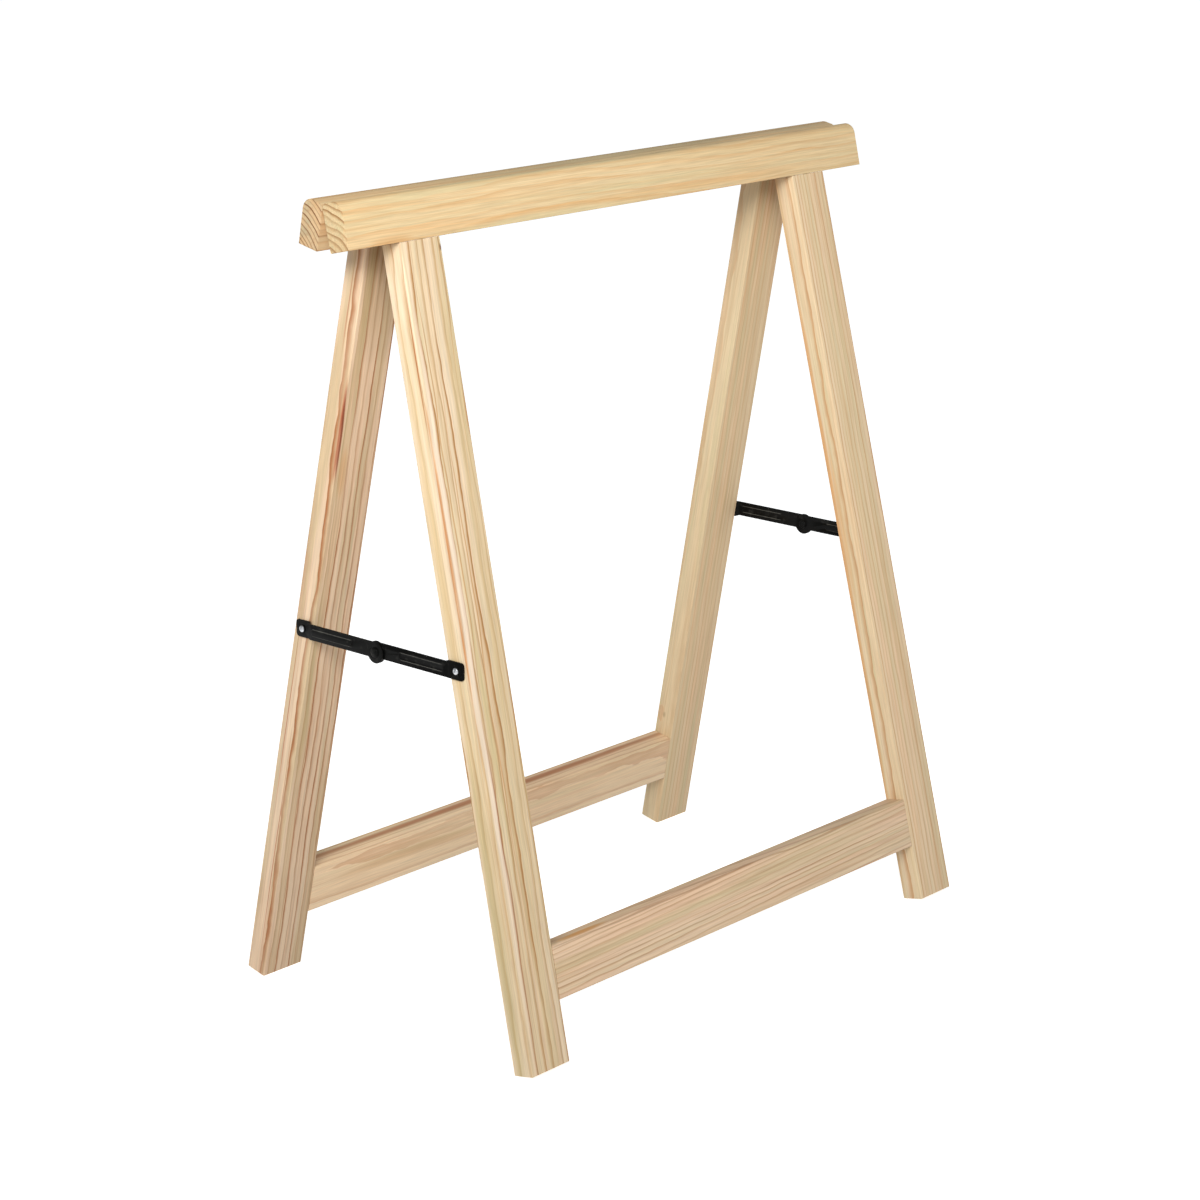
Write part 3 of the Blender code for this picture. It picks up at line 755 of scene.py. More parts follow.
@dataclass(frozen=True)
class Pine:
    """Planed pine. The yearly rings are drawn through the solid board, so faces and ends agree."""

    name: str
    early: Colour
    late: Colour
    blush: Colour
    pith: tuple[float, float]
    ring: float
    seed: float
    wander: float = 0.004
    wander_rate: float = 2.2
    weave: float = 0.0012
    ripple: float = 0.0010
    slant: float = 0.0
    line: float = 0.75
    late_share: float = 0.5
    blush_share: float = 0.6
    olive: Colour = paint(206, 190, 148)
    olive_share: float = 0.4
    fibre: float = 0.34
    end_tone: float = 0.0
    end_line: float = 1.0
    end_skin: tuple[float, float] = (0.0007, 0.0001)
    half_length: float = 1.0
    sheen: float = 0.30
    dullness: float = 0.68
    relief: float = 0.22
    relief_depth: float = 0.0004
    # Knots, stains and bands of painted shade, each laid over the grain.
    knots: tuple[Knot, ...] = ()

    def make(self, matrix: Matrix) -> bpy.types.Material:
        """Make the material for a board.

        Args:
            matrix: The board's place; its own X runs along the grain.

        Returns:
            The material.
        """
        graph = Graph.named(self.name)
        where = graph.space(matrix)
        x, y, z = graph.parts(where)
        years = self._years(graph, where, x, y, z)
        share, year = graph.maths("FRACT", years), graph.maths("FLOOR", years)
        strength = graph.random(year) * 0.8 + 0.40
        fade = graph.noise(graph.join(x * 6, year * 3.1 + self.seed, y * 9), (1, 1, 1), 0.0, detail=1)
        late = (graph.step(share, 1 - self.late_share, 0.95) ** 1.2 * graph.step(share, 1.0, 0.955)
                * strength * (graph.step(fade, 0.34, 0.60) * 0.5 + 0.6))

        fibre = graph.noise(where, (22, 900, 900), self.seed + 1, detail=3, roughness=0.6)
        streak = graph.noise(where, (5, 210, 210), self.seed + 2, detail=3, roughness=0.6)
        cloud = graph.noise(where, (4, 30, 30), self.seed + 4)
        moss = graph.noise(where, (3, 70, 70), self.seed + 7)

        tint = graph.random(year + (self.seed + 0.37)) * 0.7 + graph.step(cloud, 0.38, 0.64) * 0.5
        colour = graph.mix(tint * self.blush_share, self.early, self.blush)
        stale = graph.step(graph.random(year + (self.seed + 0.71)), 0.45, 0.95) * 0.7
        colour = graph.mix((graph.step(moss, 0.46, 0.62) + stale) * self.olive_share, colour, self.olive)
        colour = graph.mix(graph.step(streak, 0.48, 0.70) * 0.30, colour, self.late)
        line, tone = late * self.line, (fibre - 0.5) * self.fibre + (streak - 0.5) * 0.12 + 1.0
        if self.end_tone:
            inner, outer = (self.half_length - depth for depth in self.end_skin)
            rim = graph.step(graph.maths("ABSOLUTE", x), inner, outer)
            line, tone = line * (rim * self.end_line + 1.0), tone - rim * (late * 0.35 + self.end_tone)
        colour = graph.mix(line, colour, self.late)
        bend = graph.noise(where, (11, 5, 5), self.seed + 21, detail=1) - 0.5
        # Knots, stains and bands of painted shade are laid into the colour here.
        for mark_or_shade in self.knots:
            near_mark_or_shade = self._near(graph, x, y + bend * 0.007, z + bend * 0.002, mark_or_shade, 1.0)
            colour = graph.mix(near_mark_or_shade * mark_or_shade.strength, colour, mark_or_shade.colour)
        colour = graph.mix(1.0, colour, self._grey(graph, tone), "MULTIPLY")

        height = late * 0.6 + fibre * 0.5
        graph.shader.inputs["Specular IOR Level"].default_value = self.sheen
        roughness = self.dullness - late * 0.12 + (fibre - 0.5) * 0.16
        return graph.finish({"Base Color": colour, "Roughness": roughness,
                             "Normal": graph.bump(height, self.relief, self.relief_depth)})

    def _years(self, graph: Graph, where: Signal, x: Signal, y: Signal, z: Signal) -> Signal:
        """Number of yearly rings from the heart of the tree, with its slow and quick wanderings.

        Args:
            graph: The nodes.
            where: Position in the board.
            x: Its measure along the grain.
            y: Its measure across the board.
            z: Its measure through the board.

        Returns:
            The number, with a fraction inside each ring.
        """
        slow = graph.noise(where, (self.wander_rate, 3, 3), self.seed, detail=1.5)
        drift = graph.noise(where, (self.wander_rate * 1.6, 2, 2), self.seed + 9, detail=1.5)
        weave = graph.noise(where, (8, 12, 12), self.seed + 13, detail=1)
        ripple = graph.noise(where, (34, 80, 80), self.seed + 3, detail=2.5)
        across = y - x * self.slant + ((slow - 0.5) * (2 * self.wander) - self.pith[0])
        across = across + (weave - 0.5) * (2 * self.weave)
        through = z + ((drift - 0.5) * (2 * self.wander) - self.pith[1])
        for mark_or_shade in self.knots:
            if mark_or_shade.push:
                across = across + self._near(graph, x, y, z, mark_or_shade, 3.0) * (mark_or_shade.size[1] * mark_or_shade.push)
        radius = (across ** 2 + through ** 2) ** 0.5 + (ripple - 0.5) * (2 * self.ripple)
        calm = graph.vector("MULTIPLY", where, (0.4, 1, 1))
        uneven = graph.noise(calm, (1.5, 55, 55), self.seed + 5, detail=0)
        return radius / self.ring + (uneven - 0.5) * 1.1

    @staticmethod
    def _near(graph: Graph, x: Signal, y: Signal, z: Signal, mark_or_shade: Knot, reach: float) -> Signal:
        """Nearness to a knot, a stain or a band of painted shade.

        Args:
            graph: The nodes.
            x: Measure along the grain.
            y: Measure across the board.
            z: Measure through the board.
            mark_or_shade: The knot, stain or band of painted shade.
            reach: How many times its size counts as near.

        Returns:
            1 in its middle, falling to 0.
        """
        terms = [((axis - middle) / (size * reach)) ** 2
                 for axis, middle, size in zip((x, y, z), mark_or_shade.place, mark_or_shade.size)]
        return graph.step(terms[0] + terms[1] + terms[2], 1.0, 0.0)

    @staticmethod
    def _grey(graph: Graph, tone: Signal) -> Signal:
        """A grey of the given lightness, as a colour."""
        node = graph.add("ShaderNodeCombineColor", None, {0: tone, 1: tone, 2: tone})
        return Signal(graph, node.outputs[0])


@dataclass(frozen=True)
class BlackCoat:
    """Satin black coating on pressed steel, with a fine skin, scuffed patches and painted highlight lines
    along the edges of the bead.
    """

    name: str = "black_coated_steel"
    base: Colour = paint(10, 10, 9)
    rubbed: Colour = paint(88, 87, 82)
    sheen: float = 0.07
    dullness: float = 0.28
    worn_width: float = 0.00055
    worn_ends: float = 0.003
    relief: float = 0.12
    relief_depth: float = 0.0002

    def make(self, matrix: Matrix, bead: tuple[float, float, float] | None = None) -> bpy.types.Material:
        """Make the material for one piece.

        Args:
            matrix: The piece's place, its own X along the arm.
            bead: Start, end and half width of a bead whose edges get painted highlight lines.

        Returns:
            The material.
        """
        graph = Graph.named(self.name)
        where = graph.space(matrix)
        skin = graph.noise(where, (1400, 1400, 1400), 1.0)
        patch = graph.noise(where, (150, 150, 150), 4.0, detail=3)
        wear_and_highlight = graph.step(patch, 0.56, 0.74) * 0.12
        # Painted highlight: thin lighter lines along both edges of the bead, fading in and out near its ends.
        if bead:
            x, y, _ = graph.parts(where)
            start, end, half = bead
            off = graph.maths("ABSOLUTE", graph.maths("ABSOLUTE", y) - half)
            length = (graph.step(x, start, start + self.worn_ends)
                      * graph.step(x, end, end - self.worn_ends))
            wear_and_highlight = wear_and_highlight + graph.step(off, self.worn_width, 0.0) * length * (0.35 + patch)
        colour = graph.mix(wear_and_highlight, self.base, self.rubbed)
        graph.shader.inputs["Specular IOR Level"].default_value = self.sheen
        return graph.finish({"Base Color": colour, "Roughness": self.dullness + patch * 0.24,
                             "Normal": graph.bump(skin, self.relief, self.relief_depth)})


@dataclass(frozen=True)
class ZincPlate:
    """Bright zinc plating with a faint brushed turn and dull spots."""

    name: str = "bright_zinc"
    bright: Colour = paint(202, 204, 208)
    dull: Colour = paint(150, 153, 157)
    dullness: float = 0.24
    relief: float = 0.08
    relief_depth: float = 0.0001

    def make(self) -> bpy.types.Material:
        """Make the material.

        Returns:
            The material.
        """
        graph = Graph.named(self.name)
        where = graph.space(Matrix())
        patch = graph.noise(where, (260, 260, 260), 2.0, detail=3)
        grain = graph.noise(where, (2200, 300, 2200), 6.0)
        colour = graph.mix(graph.step(patch, 0.4, 0.7), self.bright, self.dull)
        return graph.finish({"Base Color": colour, "Metallic": 1.0, "Roughness": self.dullness + patch * 0.2,
                             "Normal": graph.bump(grain, self.relief, self.relief_depth)})


@dataclass(frozen=True)
class Beech:
    """Plain beech of the dowels, with short dark flecks along the rod."""

    name: str = "beech_rod"
    pale: Colour = paint(214, 176, 132)
    fleck: Colour = paint(160, 112, 72)
    dullness: float = 0.66
    relief: float = 0.15
    relief_depth: float = 0.0003

    def make(self, along: Vector) -> bpy.types.Material:
        """Make the material for rods.

        Args:
            along: Direction that they point.

        Returns:
            The material.
        """
        graph = Graph.named(self.name)
        where = graph.space(standing_on(along, (0, 0, 0)))
        fleck = graph.noise(where, (1500, 1500, 110), 3.0)
        tone = graph.noise(where, (300, 300, 14), 7.0)
        colour = graph.mix(graph.step(fleck, 0.55, 0.72), self.pale, self.fleck)
        colour = graph.mix(graph.step(tone, 0.4, 0.7) * 0.3, colour, self.fleck)
        return graph.finish({"Base Color": colour, "Roughness": self.dullness + (fleck - 0.5) * 0.1,
                             "Normal": graph.bump(fleck, self.relief, self.relief_depth)})


# ------------------------------------------------------------------------------------ timber
def hand_over(obj: bpy.types.Object, material: bpy.types.Material, body: str, node: str) -> None:
    """Dress a finished piece, hang it on the body that it moves with, hide the node that it stands for, and
    say what it rides on.

    Args:
        obj: The piece.
        material: Its material.
        body: The body that it moves with.
        node: The node that it stands for.
    """
    obj.data.materials.clear()
    obj.data.materials.append(material)
    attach(obj, body)
    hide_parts(node)
    LOG.info("%s: %d faces, rides on %s", obj.name, len(obj.data.polygons), body)


@dataclass(frozen=True)
class Joinery:
    """Shapes of the worked boards: those of the back frame, and its right-hand leg, in upright space."""

    outer_round: float = 0.011
    inner_round: float = 0.0055
    ease: float = 0.0012
    outer_flats: int = 18
    inner_flats: int = 12
    ease_flats: int = 4
    end_flats: int = 3
    saw_spare: float = 0.02
    leg_spare: float = 0.00048
    dowel_radius: float = 0.004
    dowel_length: float = 0.040
    dowel_spacing: float = 0.024
    dowel_room: float = 0.0006
    screw_bore: float = 0.0022
    screw_depth: float = 0.0246
    screw_room: float = 0.001
    mortise_length: float = 0.0606
    mortise_depth: float = 0.0223
    mortise_thickness: float = 0.00175
    mortise_over: float = 0.003
    channel_radius: float = 0.0029
    square_turn: float = 1.2

    def rail_seat(self, side: Side) -> Matrix:
        """A rail's place in upright space, with its own X along the grain and its own Y up.

        Args:
            side: The frame.

        Returns:
            The place.
        """
        middle = LAYOUT.place(side, 0, LAYOUT.rail_out + LAYOUT.rail_thickness / 2,
                              LAYOUT.rail_bottom - LAYOUT.rail_height / 2)
        return frame_of((1, 0, 0), (0, 0, 1), (0, -1, 0), middle)

    def leg_seat(self, side: Side, end: End) -> Matrix:
        """A leg's place in upright space, with its own X up the grain and its own Y towards the right.

        Args:
            side: The frame.
            end: The end of the sawhorse.

        Returns:
            The place.
        """
        down = (LAYOUT.leg_top + LAYOUT.foot) / 2
        middle = LAYOUT.place(side, end.value * LAYOUT.leg_middle(down), LAYOUT.timber_out, down)
        sine, cosine = math.sin(LAYOUT.lean), math.cos(LAYOUT.lean)
        return frame_of((-end.value * sine, 0, cosine), (cosine, 0, end.value * sine), (0, 1, 0), middle)

    def stretcher_seat(self, side: Side) -> Matrix:
        """A stretcher's place in upright space, with its own X along the grain and its own Y up."""
        middle = LAYOUT.place(side, 0, LAYOUT.timber_out, LAYOUT.stretcher_middle)
        return frame_of((1, 0, 0), (0, 0, 1), (0, -1, 0), middle)

    def rail(self) -> bpy.types.Object:
        """Shape a rail: a big round along its outer top edge, a small one along the fold, and mortises.

        Returns:
            The rail.
        """
        length, height, thick = LAYOUT.rail_length, LAYOUT.rail_height, LAYOUT.rail_thickness
        board = Bench.block("rail", (length, height, thick))

        def corner(top: int, inner: int) -> Callable:
            """Test for the long edge at one corner of the section.

            Args:
                top: 1 for the upper edges, -1 for the lower ones.
                inner: 1 for the edges at the fold, -1 for the outer ones.

            Returns:
                The test.
            """
            def wanted(edge: bmesh.types.BMEdge) -> bool:
                """Whether an edge lies at that corner.

                Args:
                    edge: The edge.

                Returns:
                    True if it does.
                """
                first, second = (vert.co for vert in edge.verts)
                middle = (first + second) / 2
                return (self._long(edge, length / 2) and middle.y * top > height / 2 - TOUCH
                        and middle.z * inner > thick / 2 - TOUCH)
            return wanted

        Bench.round_edges(board, self.outer_round, self.outer_flats, corner(1, -1))
        Bench.round_edges(board, self.inner_round, self.inner_flats, corner(1, 1))
        Bench.round_edges(board, self.ease / 3, self.end_flats, corner(-1, -1))
        Bench.round_edges(board, self.ease, self.ease_flats, corner(-1, 1))
        Bench.round_edges(board, self.ease / 2, self.end_flats, lambda edge: self._at_end(edge, length / 2))
        Bench.settle(board, self.rail_seat(Side.BACK))
        for end in End:
            self._mortise(board, end.value * (LAYOUT.rail_length / 2 - LAYOUT.hinge_from_end))
        return self._bored(board)

    def leg(self) -> bpy.types.Object:
        """Shape a leg: leaning, with its top and its foot cut level with the rail.

        Returns:
            The right-hand leg.
        """
        tall = LAYOUT.foot - LAYOUT.leg_top + self.leg_spare
        board = Bench.block("leg", (tall + 2 * LAYOUT.leg_width, LAYOUT.leg_width, LAYOUT.leg_thickness))
        level = Vector((math.cos(LAYOUT.lean), math.sin(LAYOUT.lean), 0))
        for way in (1, -1):
            Bench.saw(board, level * (way * tall / 2 * math.cos(LAYOUT.lean)), level * way)
        self._ease_edges(board, tall / 2)
        Bench.settle(board, self.leg_seat(Side.BACK, End.RIGHT))
        return self._bored(board)

    def stretcher(self) -> bpy.types.Object:
        """Shape a stretcher, its ends cut to the lean of the legs.

        Returns:
            The stretcher.
        """
        reach = LAYOUT.leg_inner(LAYOUT.stretcher_middle) - LAYOUT.gap
        board = Bench.block("stretcher", (2 * reach + self.saw_spare, LAYOUT.stretcher_height,
                                          LAYOUT.leg_thickness))
        for way in (1, -1):
            Bench.saw(board, (way * reach, 0, 0), (way * math.cos(LAYOUT.lean), math.sin(LAYOUT.lean), 0))
        self._ease_edges(board, reach)
        Bench.settle(board, self.stretcher_seat(Side.BACK))
        return self._bored(board)

    def _ease_edges(self, board: bpy.types.Object, least: float) -> None:
        """Ease a sawn board's long edges, and its ends a little.

        Args:
            board: The board.
            least: Length above which an edge is a long one.
        """
        Bench.round_edges(board, self.ease, self.ease_flats, lambda edge: self._long(edge, least))
        Bench.round_edges(board, self.ease / 3, self.end_flats,
                          lambda edge: edge.calc_face_angle(0) > self.square_turn)

    @staticmethod
    def _long(edge: bmesh.types.BMEdge, least: float) -> bool:
        """Whether an edge runs along a board."""
        return abs(edge.verts[0].co.x - edge.verts[1].co.x) > least

    @staticmethod
    def _at_end(edge: bmesh.types.BMEdge, half: float) -> bool:
        """Whether an edge goes round an end of a board."""
        first, second = (vert.co.x for vert in edge.verts)
        return min(abs(first), abs(second)) > half - TOUCH and first * second > 0

    def _mortise(self, board: bpy.types.Object, x: float) -> None:
        """Let a hinge into the rail.

        Args:
            board: The rail.
            x: Place of the hinge along it.
        """
        low, high = -self.mortise_over, self.mortise_thickness
        middle = LAYOUT.place(Side.BACK, x, (low + high) / 2, self.mortise_depth / 2)
        leaf = Bench.block("leaf_mortise", (self.mortise_length, high - low, self.mortise_depth), middle)
        Bench.work(board, leaf, Cut.REMOVE)
        channel = rod("barrel_channel", self.channel_radius, self.mortise_length + LAYOUT.gap,
                      standing_on((1, 0, 0), (x, 0, 0)))
        Bench.work(board, channel, Cut.REMOVE)

    def _bored(self, board: bpy.types.Object) -> bpy.types.Object:
        """Drill a board for every dowel and stay screw that enters it, and shade it.

        Args:
            board: The board, in its place.

        Returns:
            The finished board.
        """
        low, high = (Vector(map(pick, zip(*board.bound_box))) for pick in (min, max))
        for name, place, axis, radius, length in self._bores():
            reach = length / 2
            if all(low[i] - reach < place[i] < high[i] + reach for i in range(3)):
                Bench.work(board, rod(name, radius, length, standing_on(axis, place)), Cut.REMOVE)
        Bench.smooth(board)
        return board

    def _bores(self) -> Iterable[tuple[str, Vector, Point, float, float]]:
        """Every bore of the back frame: name, middle, axis, radius and length.

        Yields:
            One bore at a time.
        """
        radius = self.dowel_radius + LAYOUT.gap
        length = self.dowel_length + 2 * self.dowel_room
        for end in End:
            for half in (-0.5, 0.5):
                x = end.value * LAYOUT.leg_middle(LAYOUT.rail_bottom) + half * self.dowel_spacing
                yield ("rail_dowel_bore", LAYOUT.place(Side.BACK, x, LAYOUT.timber_out, LAYOUT.rail_bottom),
                       (0, 0, 1), radius, length)
                down = LAYOUT.stretcher_middle + half * self.dowel_spacing
                x = end.value * LAYOUT.leg_inner(down)
                yield ("stretcher_dowel_bore", LAYOUT.place(Side.BACK, x, LAYOUT.timber_out, down),
                       (1, 0, 0), radius, length)
            x = end.value * (LAYOUT.leg_edge(LAYOUT.stay_down) - self.screw_depth / 2 + self.screw_room)
            yield ("stay_screw_bore", LAYOUT.place(Side.BACK, x, LAYOUT.stay_out, LAYOUT.stay_down),
                   (1, 0, 0), self.screw_bore, self.screw_depth + 2 * self.screw_room)


@dataclass(frozen=True)
class TrestleFrame:
    """One of the two frames: a rail, two legs and a stretcher, each of its own pine."""

    side: Side
    stock: dict[str, Pine]
    joinery: Joinery = Joinery()

    def build(self) -> None:
        """Make the rail, the legs and the stretcher."""
        side, shapes = self.side, self.joinery
        self.fit("rail", f"{side.word}_rail", End.RIGHT, shapes.rail, shapes.rail_seat(side))
        for end in End:
            self.fit("leg", f"{side.word}_{end.word}_leg", end, shapes.leg, shapes.leg_seat(side, end))
        self.fit("stretcher", f"{side.word}_stretcher", End.RIGHT, shapes.stretcher,
                 shapes.stretcher_seat(side))

    def fit(self, kind: str, name: str, end: End, model: Callable, seat: Matrix) -> None:
        """Copy a board to its place and give it its pine.

        Args:
            kind: What the board is.
            name: Name of its node.
            end: The end that it stands at.
            model: Models the board for the back frame.
            seat: Its place in upright space, which its pine follows.
        """
        tilt = LAYOUT.tilt(self.side)
        mirror = Matrix.Diagonal((end.value, self.side.value, 1, 1))
        board = SHELF.copy(kind, f"{name}_timber", model, tilt @ mirror)
        hand_over(board, self.stock[name].make(tilt @ seat), f"{self.side.word}_frame", name)


# ------------------------------------------------------------------------------------ stays
@dataclass(frozen=True)
class StayHardware:
    """The jointed steel stay at one end: two pressed arms, two screws and a two-part rivet."""

    end: End
    coat: BlackCoat
    plate: bpy.types.Material
    over_centre: float = 0.002
    sheet: float = 0.0015
    half_width: float = 0.0072
    tab_half_width: float = 0.0080
    tab_tip: float = 0.0085
    tab_corner: float = 0.0035
    tab_flats: int = 6
    step_start: float = 0.0095
    step_run: float = 0.0028
    tab_gap: float = 0.0006
    inner_lift: float = 0.0016
    ear_radius: float = 0.0100
    bead_from_knuckle: float = 0.029
    bead_from_step: float = 0.003
    bead_half_width: float = 0.0032
    bead_height: float = 0.0007
    bead_wall: float = 0.0006
    bead_flats: int = 8
    crown_flats: int = 3
    soft_edge: float = 0.00022
    through: float = 0.02
    ear_flats: int = 48
    hole_flats: int = 32
    screw_point: float = 0.0002
    screw_shank: float = 0.0019
    screw_head: float = 0.0031
    screw_head_height: float = 0.0020
    screw_depth: float = 0.024
    rivet_shank: float = 0.0022
    rivet_head: float = 0.0046
    rivet_head_height: float = 0.0018
    rivet_tail: float = 0.0040
    rivet_tail_height: float = 0.0012

    @property
    def reach(self) -> float:
        """Length of an arm, from its screw to the knuckle, measured level."""
        return LAYOUT.stay_down * math.sin(LAYOUT.splay) + LAYOUT.stay_out * math.cos(LAYOUT.splay)

    def lift(self, side: Side) -> float:
        """Height of an arm's step: the back arm runs outside the front one at the knuckle."""
        return self.inner_lift + (self.sheet + LAYOUT.gap if side is Side.BACK else 0.0)

    def matrix(self, side: Side) -> Matrix:
        """An arm's place. Its own X points at the knuckle, its own Y up and its own Z off the leg.

        Args:
            side: The frame that its screw is in.

        Returns:
            The place.
        """
        pivot = LAYOUT.tilt(side) @ LAYOUT.place(side, self.end.value * LAYOUT.leg_edge(LAYOUT.stay_down),
                                                 LAYOUT.stay_out, LAYOUT.stay_down)
        return frame_of((0, -side.value, 0), (0, 0, 1), (self.end.value, 0, 0), pivot)

    @property
    def bead_span(self) -> tuple[float, float]:
        """Start and end of the bead along an arm."""
        start = self.step_start + self.step_run + self.bead_from_step
        return start, self.reach - self.bead_from_knuckle

    def build(self) -> None:
        """Make both arms, both screws and the rivet."""
        for side in Side:
            self.arm(side)
            self.screw(side)
            self.rivet(side)

    def arm(self, side: Side) -> None:
        """Copy a pressed arm to its place.

        Args:
            side: The frame that its screw is in.
        """
        name, place = f"{self.end.word}_stay_{side.word}_arm", self.matrix(side)
        made = SHELF.copy(f"{side.word}_arm", f"{name}_steel", lambda: self.arm_shape(side), place)
        bead = (*self.bead_span, self.bead_half_width)
        # The coat paints highlight lines along the edges of the bead.
        hand_over(made, self.coat.make(place, bead), name, name)

    def arm_shape(self, side: Side) -> bpy.types.Object:
        """Shape an arm: a stepped tab, a long bead and a round ear at the knuckle.

        Args:
            side: The back frame's arm runs outside the front one's.

        Returns:
            The arm, along X.
        """
        step_end = self.step_start + self.step_run
        level, lift = self.tab_gap + self.sheet / 2, self.lift(side)
        long = self.reach + self.tab_tip
        bar = Bench.block("arm", (long, 2 * self.tab_half_width, self.sheet),
                          (long / 2 - self.tab_tip, 0, level))
        Bench.round_edges(bar, self.tab_corner, self.tab_flats,
                          lambda edge: self._upright(edge, -self.tab_tip))
        for place in (self.step_start, step_end):
            Bench.saw(bar, (place, 0, 0), (1, 0, 0), remove=False)
        Bench.choose(bar, Pick.FACES, lambda face: all(v.co.x > step_end - TOUCH for v in face.verts))
        bpy.ops.transform.translate(value=(0, 0, lift))
        bpy.ops.transform.resize(value=(1, self.half_width / self.tab_half_width, 1),
                                 center_override=(0, 0, 0))
        Bench.done()
        knuckle = (self.reach, -self.over_centre, level + lift)
        ear = rod("ear", self.ear_radius, self.sheet, Matrix.Translation(knuckle), self.ear_flats)
        Bench.work(bar, ear, Cut.JOIN)
        away = 1 if side is Side.BACK else -1
        crown = level + lift + away * (self.sheet / 2 + self.bead_height)
        ridge = self._bead("ridge", level + lift, crown, self.bead_half_width, away)
        Bench.work(bar, ridge, Cut.JOIN)
        hollow = level + lift - away * self.sheet / 2
        groove = self._bead("groove", hollow - away * self.bead_height, hollow + away * self.bead_height,
                            self.bead_half_width - self.bead_wall, away)
        Bench.work(bar, groove, Cut.REMOVE)
        for x, y, radius in ((0, 0, self.screw_shank), (self.reach, -self.over_centre, self.rivet_shank)):
            hole = rod("hole", radius + LAYOUT.gap, self.through, Matrix.Translation((x, y, level)),
                       self.hole_flats)
            Bench.work(bar, hole, Cut.REMOVE)
        Bench.soften(bar, self.soft_edge, segments=2, angle=30)
        Bench.smooth(bar, angle=35)
        return bar

    @staticmethod
    def _upright(edge: bmesh.types.BMEdge, x: float) -> bool:
        """Whether an edge stands square to the sheet at a place along it."""
        first, second = (vert.co for vert in edge.verts)
        return abs(first.z - second.z) > 10 * TOUCH and max(abs(first.x - x), abs(second.x - x)) < TOUCH

    def _bead(self, name: str, base: float, crown: float, half_width: float, away: int) -> bpy.types.Object:
        """Long round-ended rib, with its crown edges rounded.

        Args:
            name: Name of the rib.
            base: Level of its foot.
            crown: Level of its top.
            half_width: Half its width.
            away: Which way the crown faces.

        Returns:
            The rib.
        """
        start, end = self.bead_span
        rib = Bench.block(name, (end - start, 2 * half_width, abs(crown - base)),
                          ((start + end) / 2, 0, (base + crown) / 2))
        Bench.round_edges(rib, half_width * 0.98, self.bead_flats,
                          lambda edge: abs(edge.verts[0].co.z - edge.verts[1].co.z) > TOUCH)
        Bench.round_edges(rib, min(self.bead_wall, abs(crown - base) * 0.7), self.crown_flats,
                          lambda edge: all((v.co.z - crown) * away > -TOUCH / 10 for v in edge.verts))
        return rib

    def screw(self, side: Side) -> None:
        """Copy a pan-head screw, which an arm turns on, to its place.

        Args:
            side: The frame that it is in.
        """
        name = f"{self.end.word}_stay_{side.word}_screw"
        made = SHELF.copy("stay_screw", f"{name}_zinc", self.screw_shape, self.matrix(side))
        hand_over(made, self.plate, f"{side.word}_frame", name)

    def screw_shape(self) -> bpy.types.Object:
        """Shape a pan-head screw with a cross recess.

        Returns:
            The screw, its head up.
        """
        seat = self.tab_gap + self.sheet + LAYOUT.gap
        head, tall, shank, edge = self.screw_head, self.screw_head_height, self.screw_shank, 0.35
        profile = [(self.screw_point, -self.screw_depth), (shank, 2 * shank - self.screw_depth),
                   (shank, seat), (head * 0.96, seat), (head, seat + tall * 0.12), (head, seat + tall * edge)]
        made = Bench.turn("screw", profile + dome(head, seat, tall, edge, (20, 38, 54, 68, 80)))
        cross_recess(made, (head * 0.9, head * 0.22, tall), seat + tall * 0.95, turn=25)
        Bench.smooth(made, angle=28)
        return made

    def rivet(self, side: Side) -> None:
        """Copy one half of the knuckle rivet to its place.

        Args:
            side: The back frame's arm holds the head, the front one's the tail.
        """
        name = "rivet_head" if side is Side.BACK else "rivet_tail"
        knuckle = self.matrix(side) @ Matrix.Translation((self.reach, -self.over_centre, 0))
        shape = self.rivet_head_shape if side is Side.BACK else self.rivet_tail_shape
        full_name = f"{self.end.word}_stay_{name}"
        made = SHELF.copy(name, f"{full_name}_steel", shape, knuckle)
        hand_over(made, self.coat.make(knuckle), f"{self.end.word}_stay_{side.word}_arm", full_name)

    def rivet_head_shape(self) -> bpy.types.Object:
        """Shape the domed head with its shank, in the outer arm.

        Returns:
            The head.
        """
        inner = self.tab_gap + self.lift(Side.BACK)
        seat, radius, tall = inner + self.sheet + LAYOUT.gap, self.rivet_head, self.rivet_head_height
        edge = 0.15
        profile = [(self.rivet_shank, inner + LAYOUT.gap / 2), (self.rivet_shank, seat),
                   (radius * 0.97, seat), (radius, seat + tall * edge)]
        made = Bench.turn("rivet_head", profile + dome(radius, seat, tall, edge, (16, 32, 48, 62, 74, 84)))
        Bench.smooth(made, angle=35)
        return made

    def rivet_tail_shape(self) -> bpy.types.Object:
        """Shape the flat, dimpled tail with its shank, in the inner arm.

        Returns:
            The tail.
        """
        inner = self.tab_gap + self.lift(Side.FRONT)
        outer, gap, radius, tall = inner + self.sheet, LAYOUT.gap, self.rivet_tail, self.rivet_tail_height
        low = inner - gap - tall
        profile = [(radius * 0.55, low + tall * 0.3), (radius * 0.62, low), (radius - gap, low),
                   (radius, low + gap), (radius, inner - gap), (self.rivet_shank, inner - gap),
                   (self.rivet_shank, outer - gap / 2)]
        made = Bench.turn("rivet_tail", profile)
        Bench.smooth(made, angle=35)
        return made


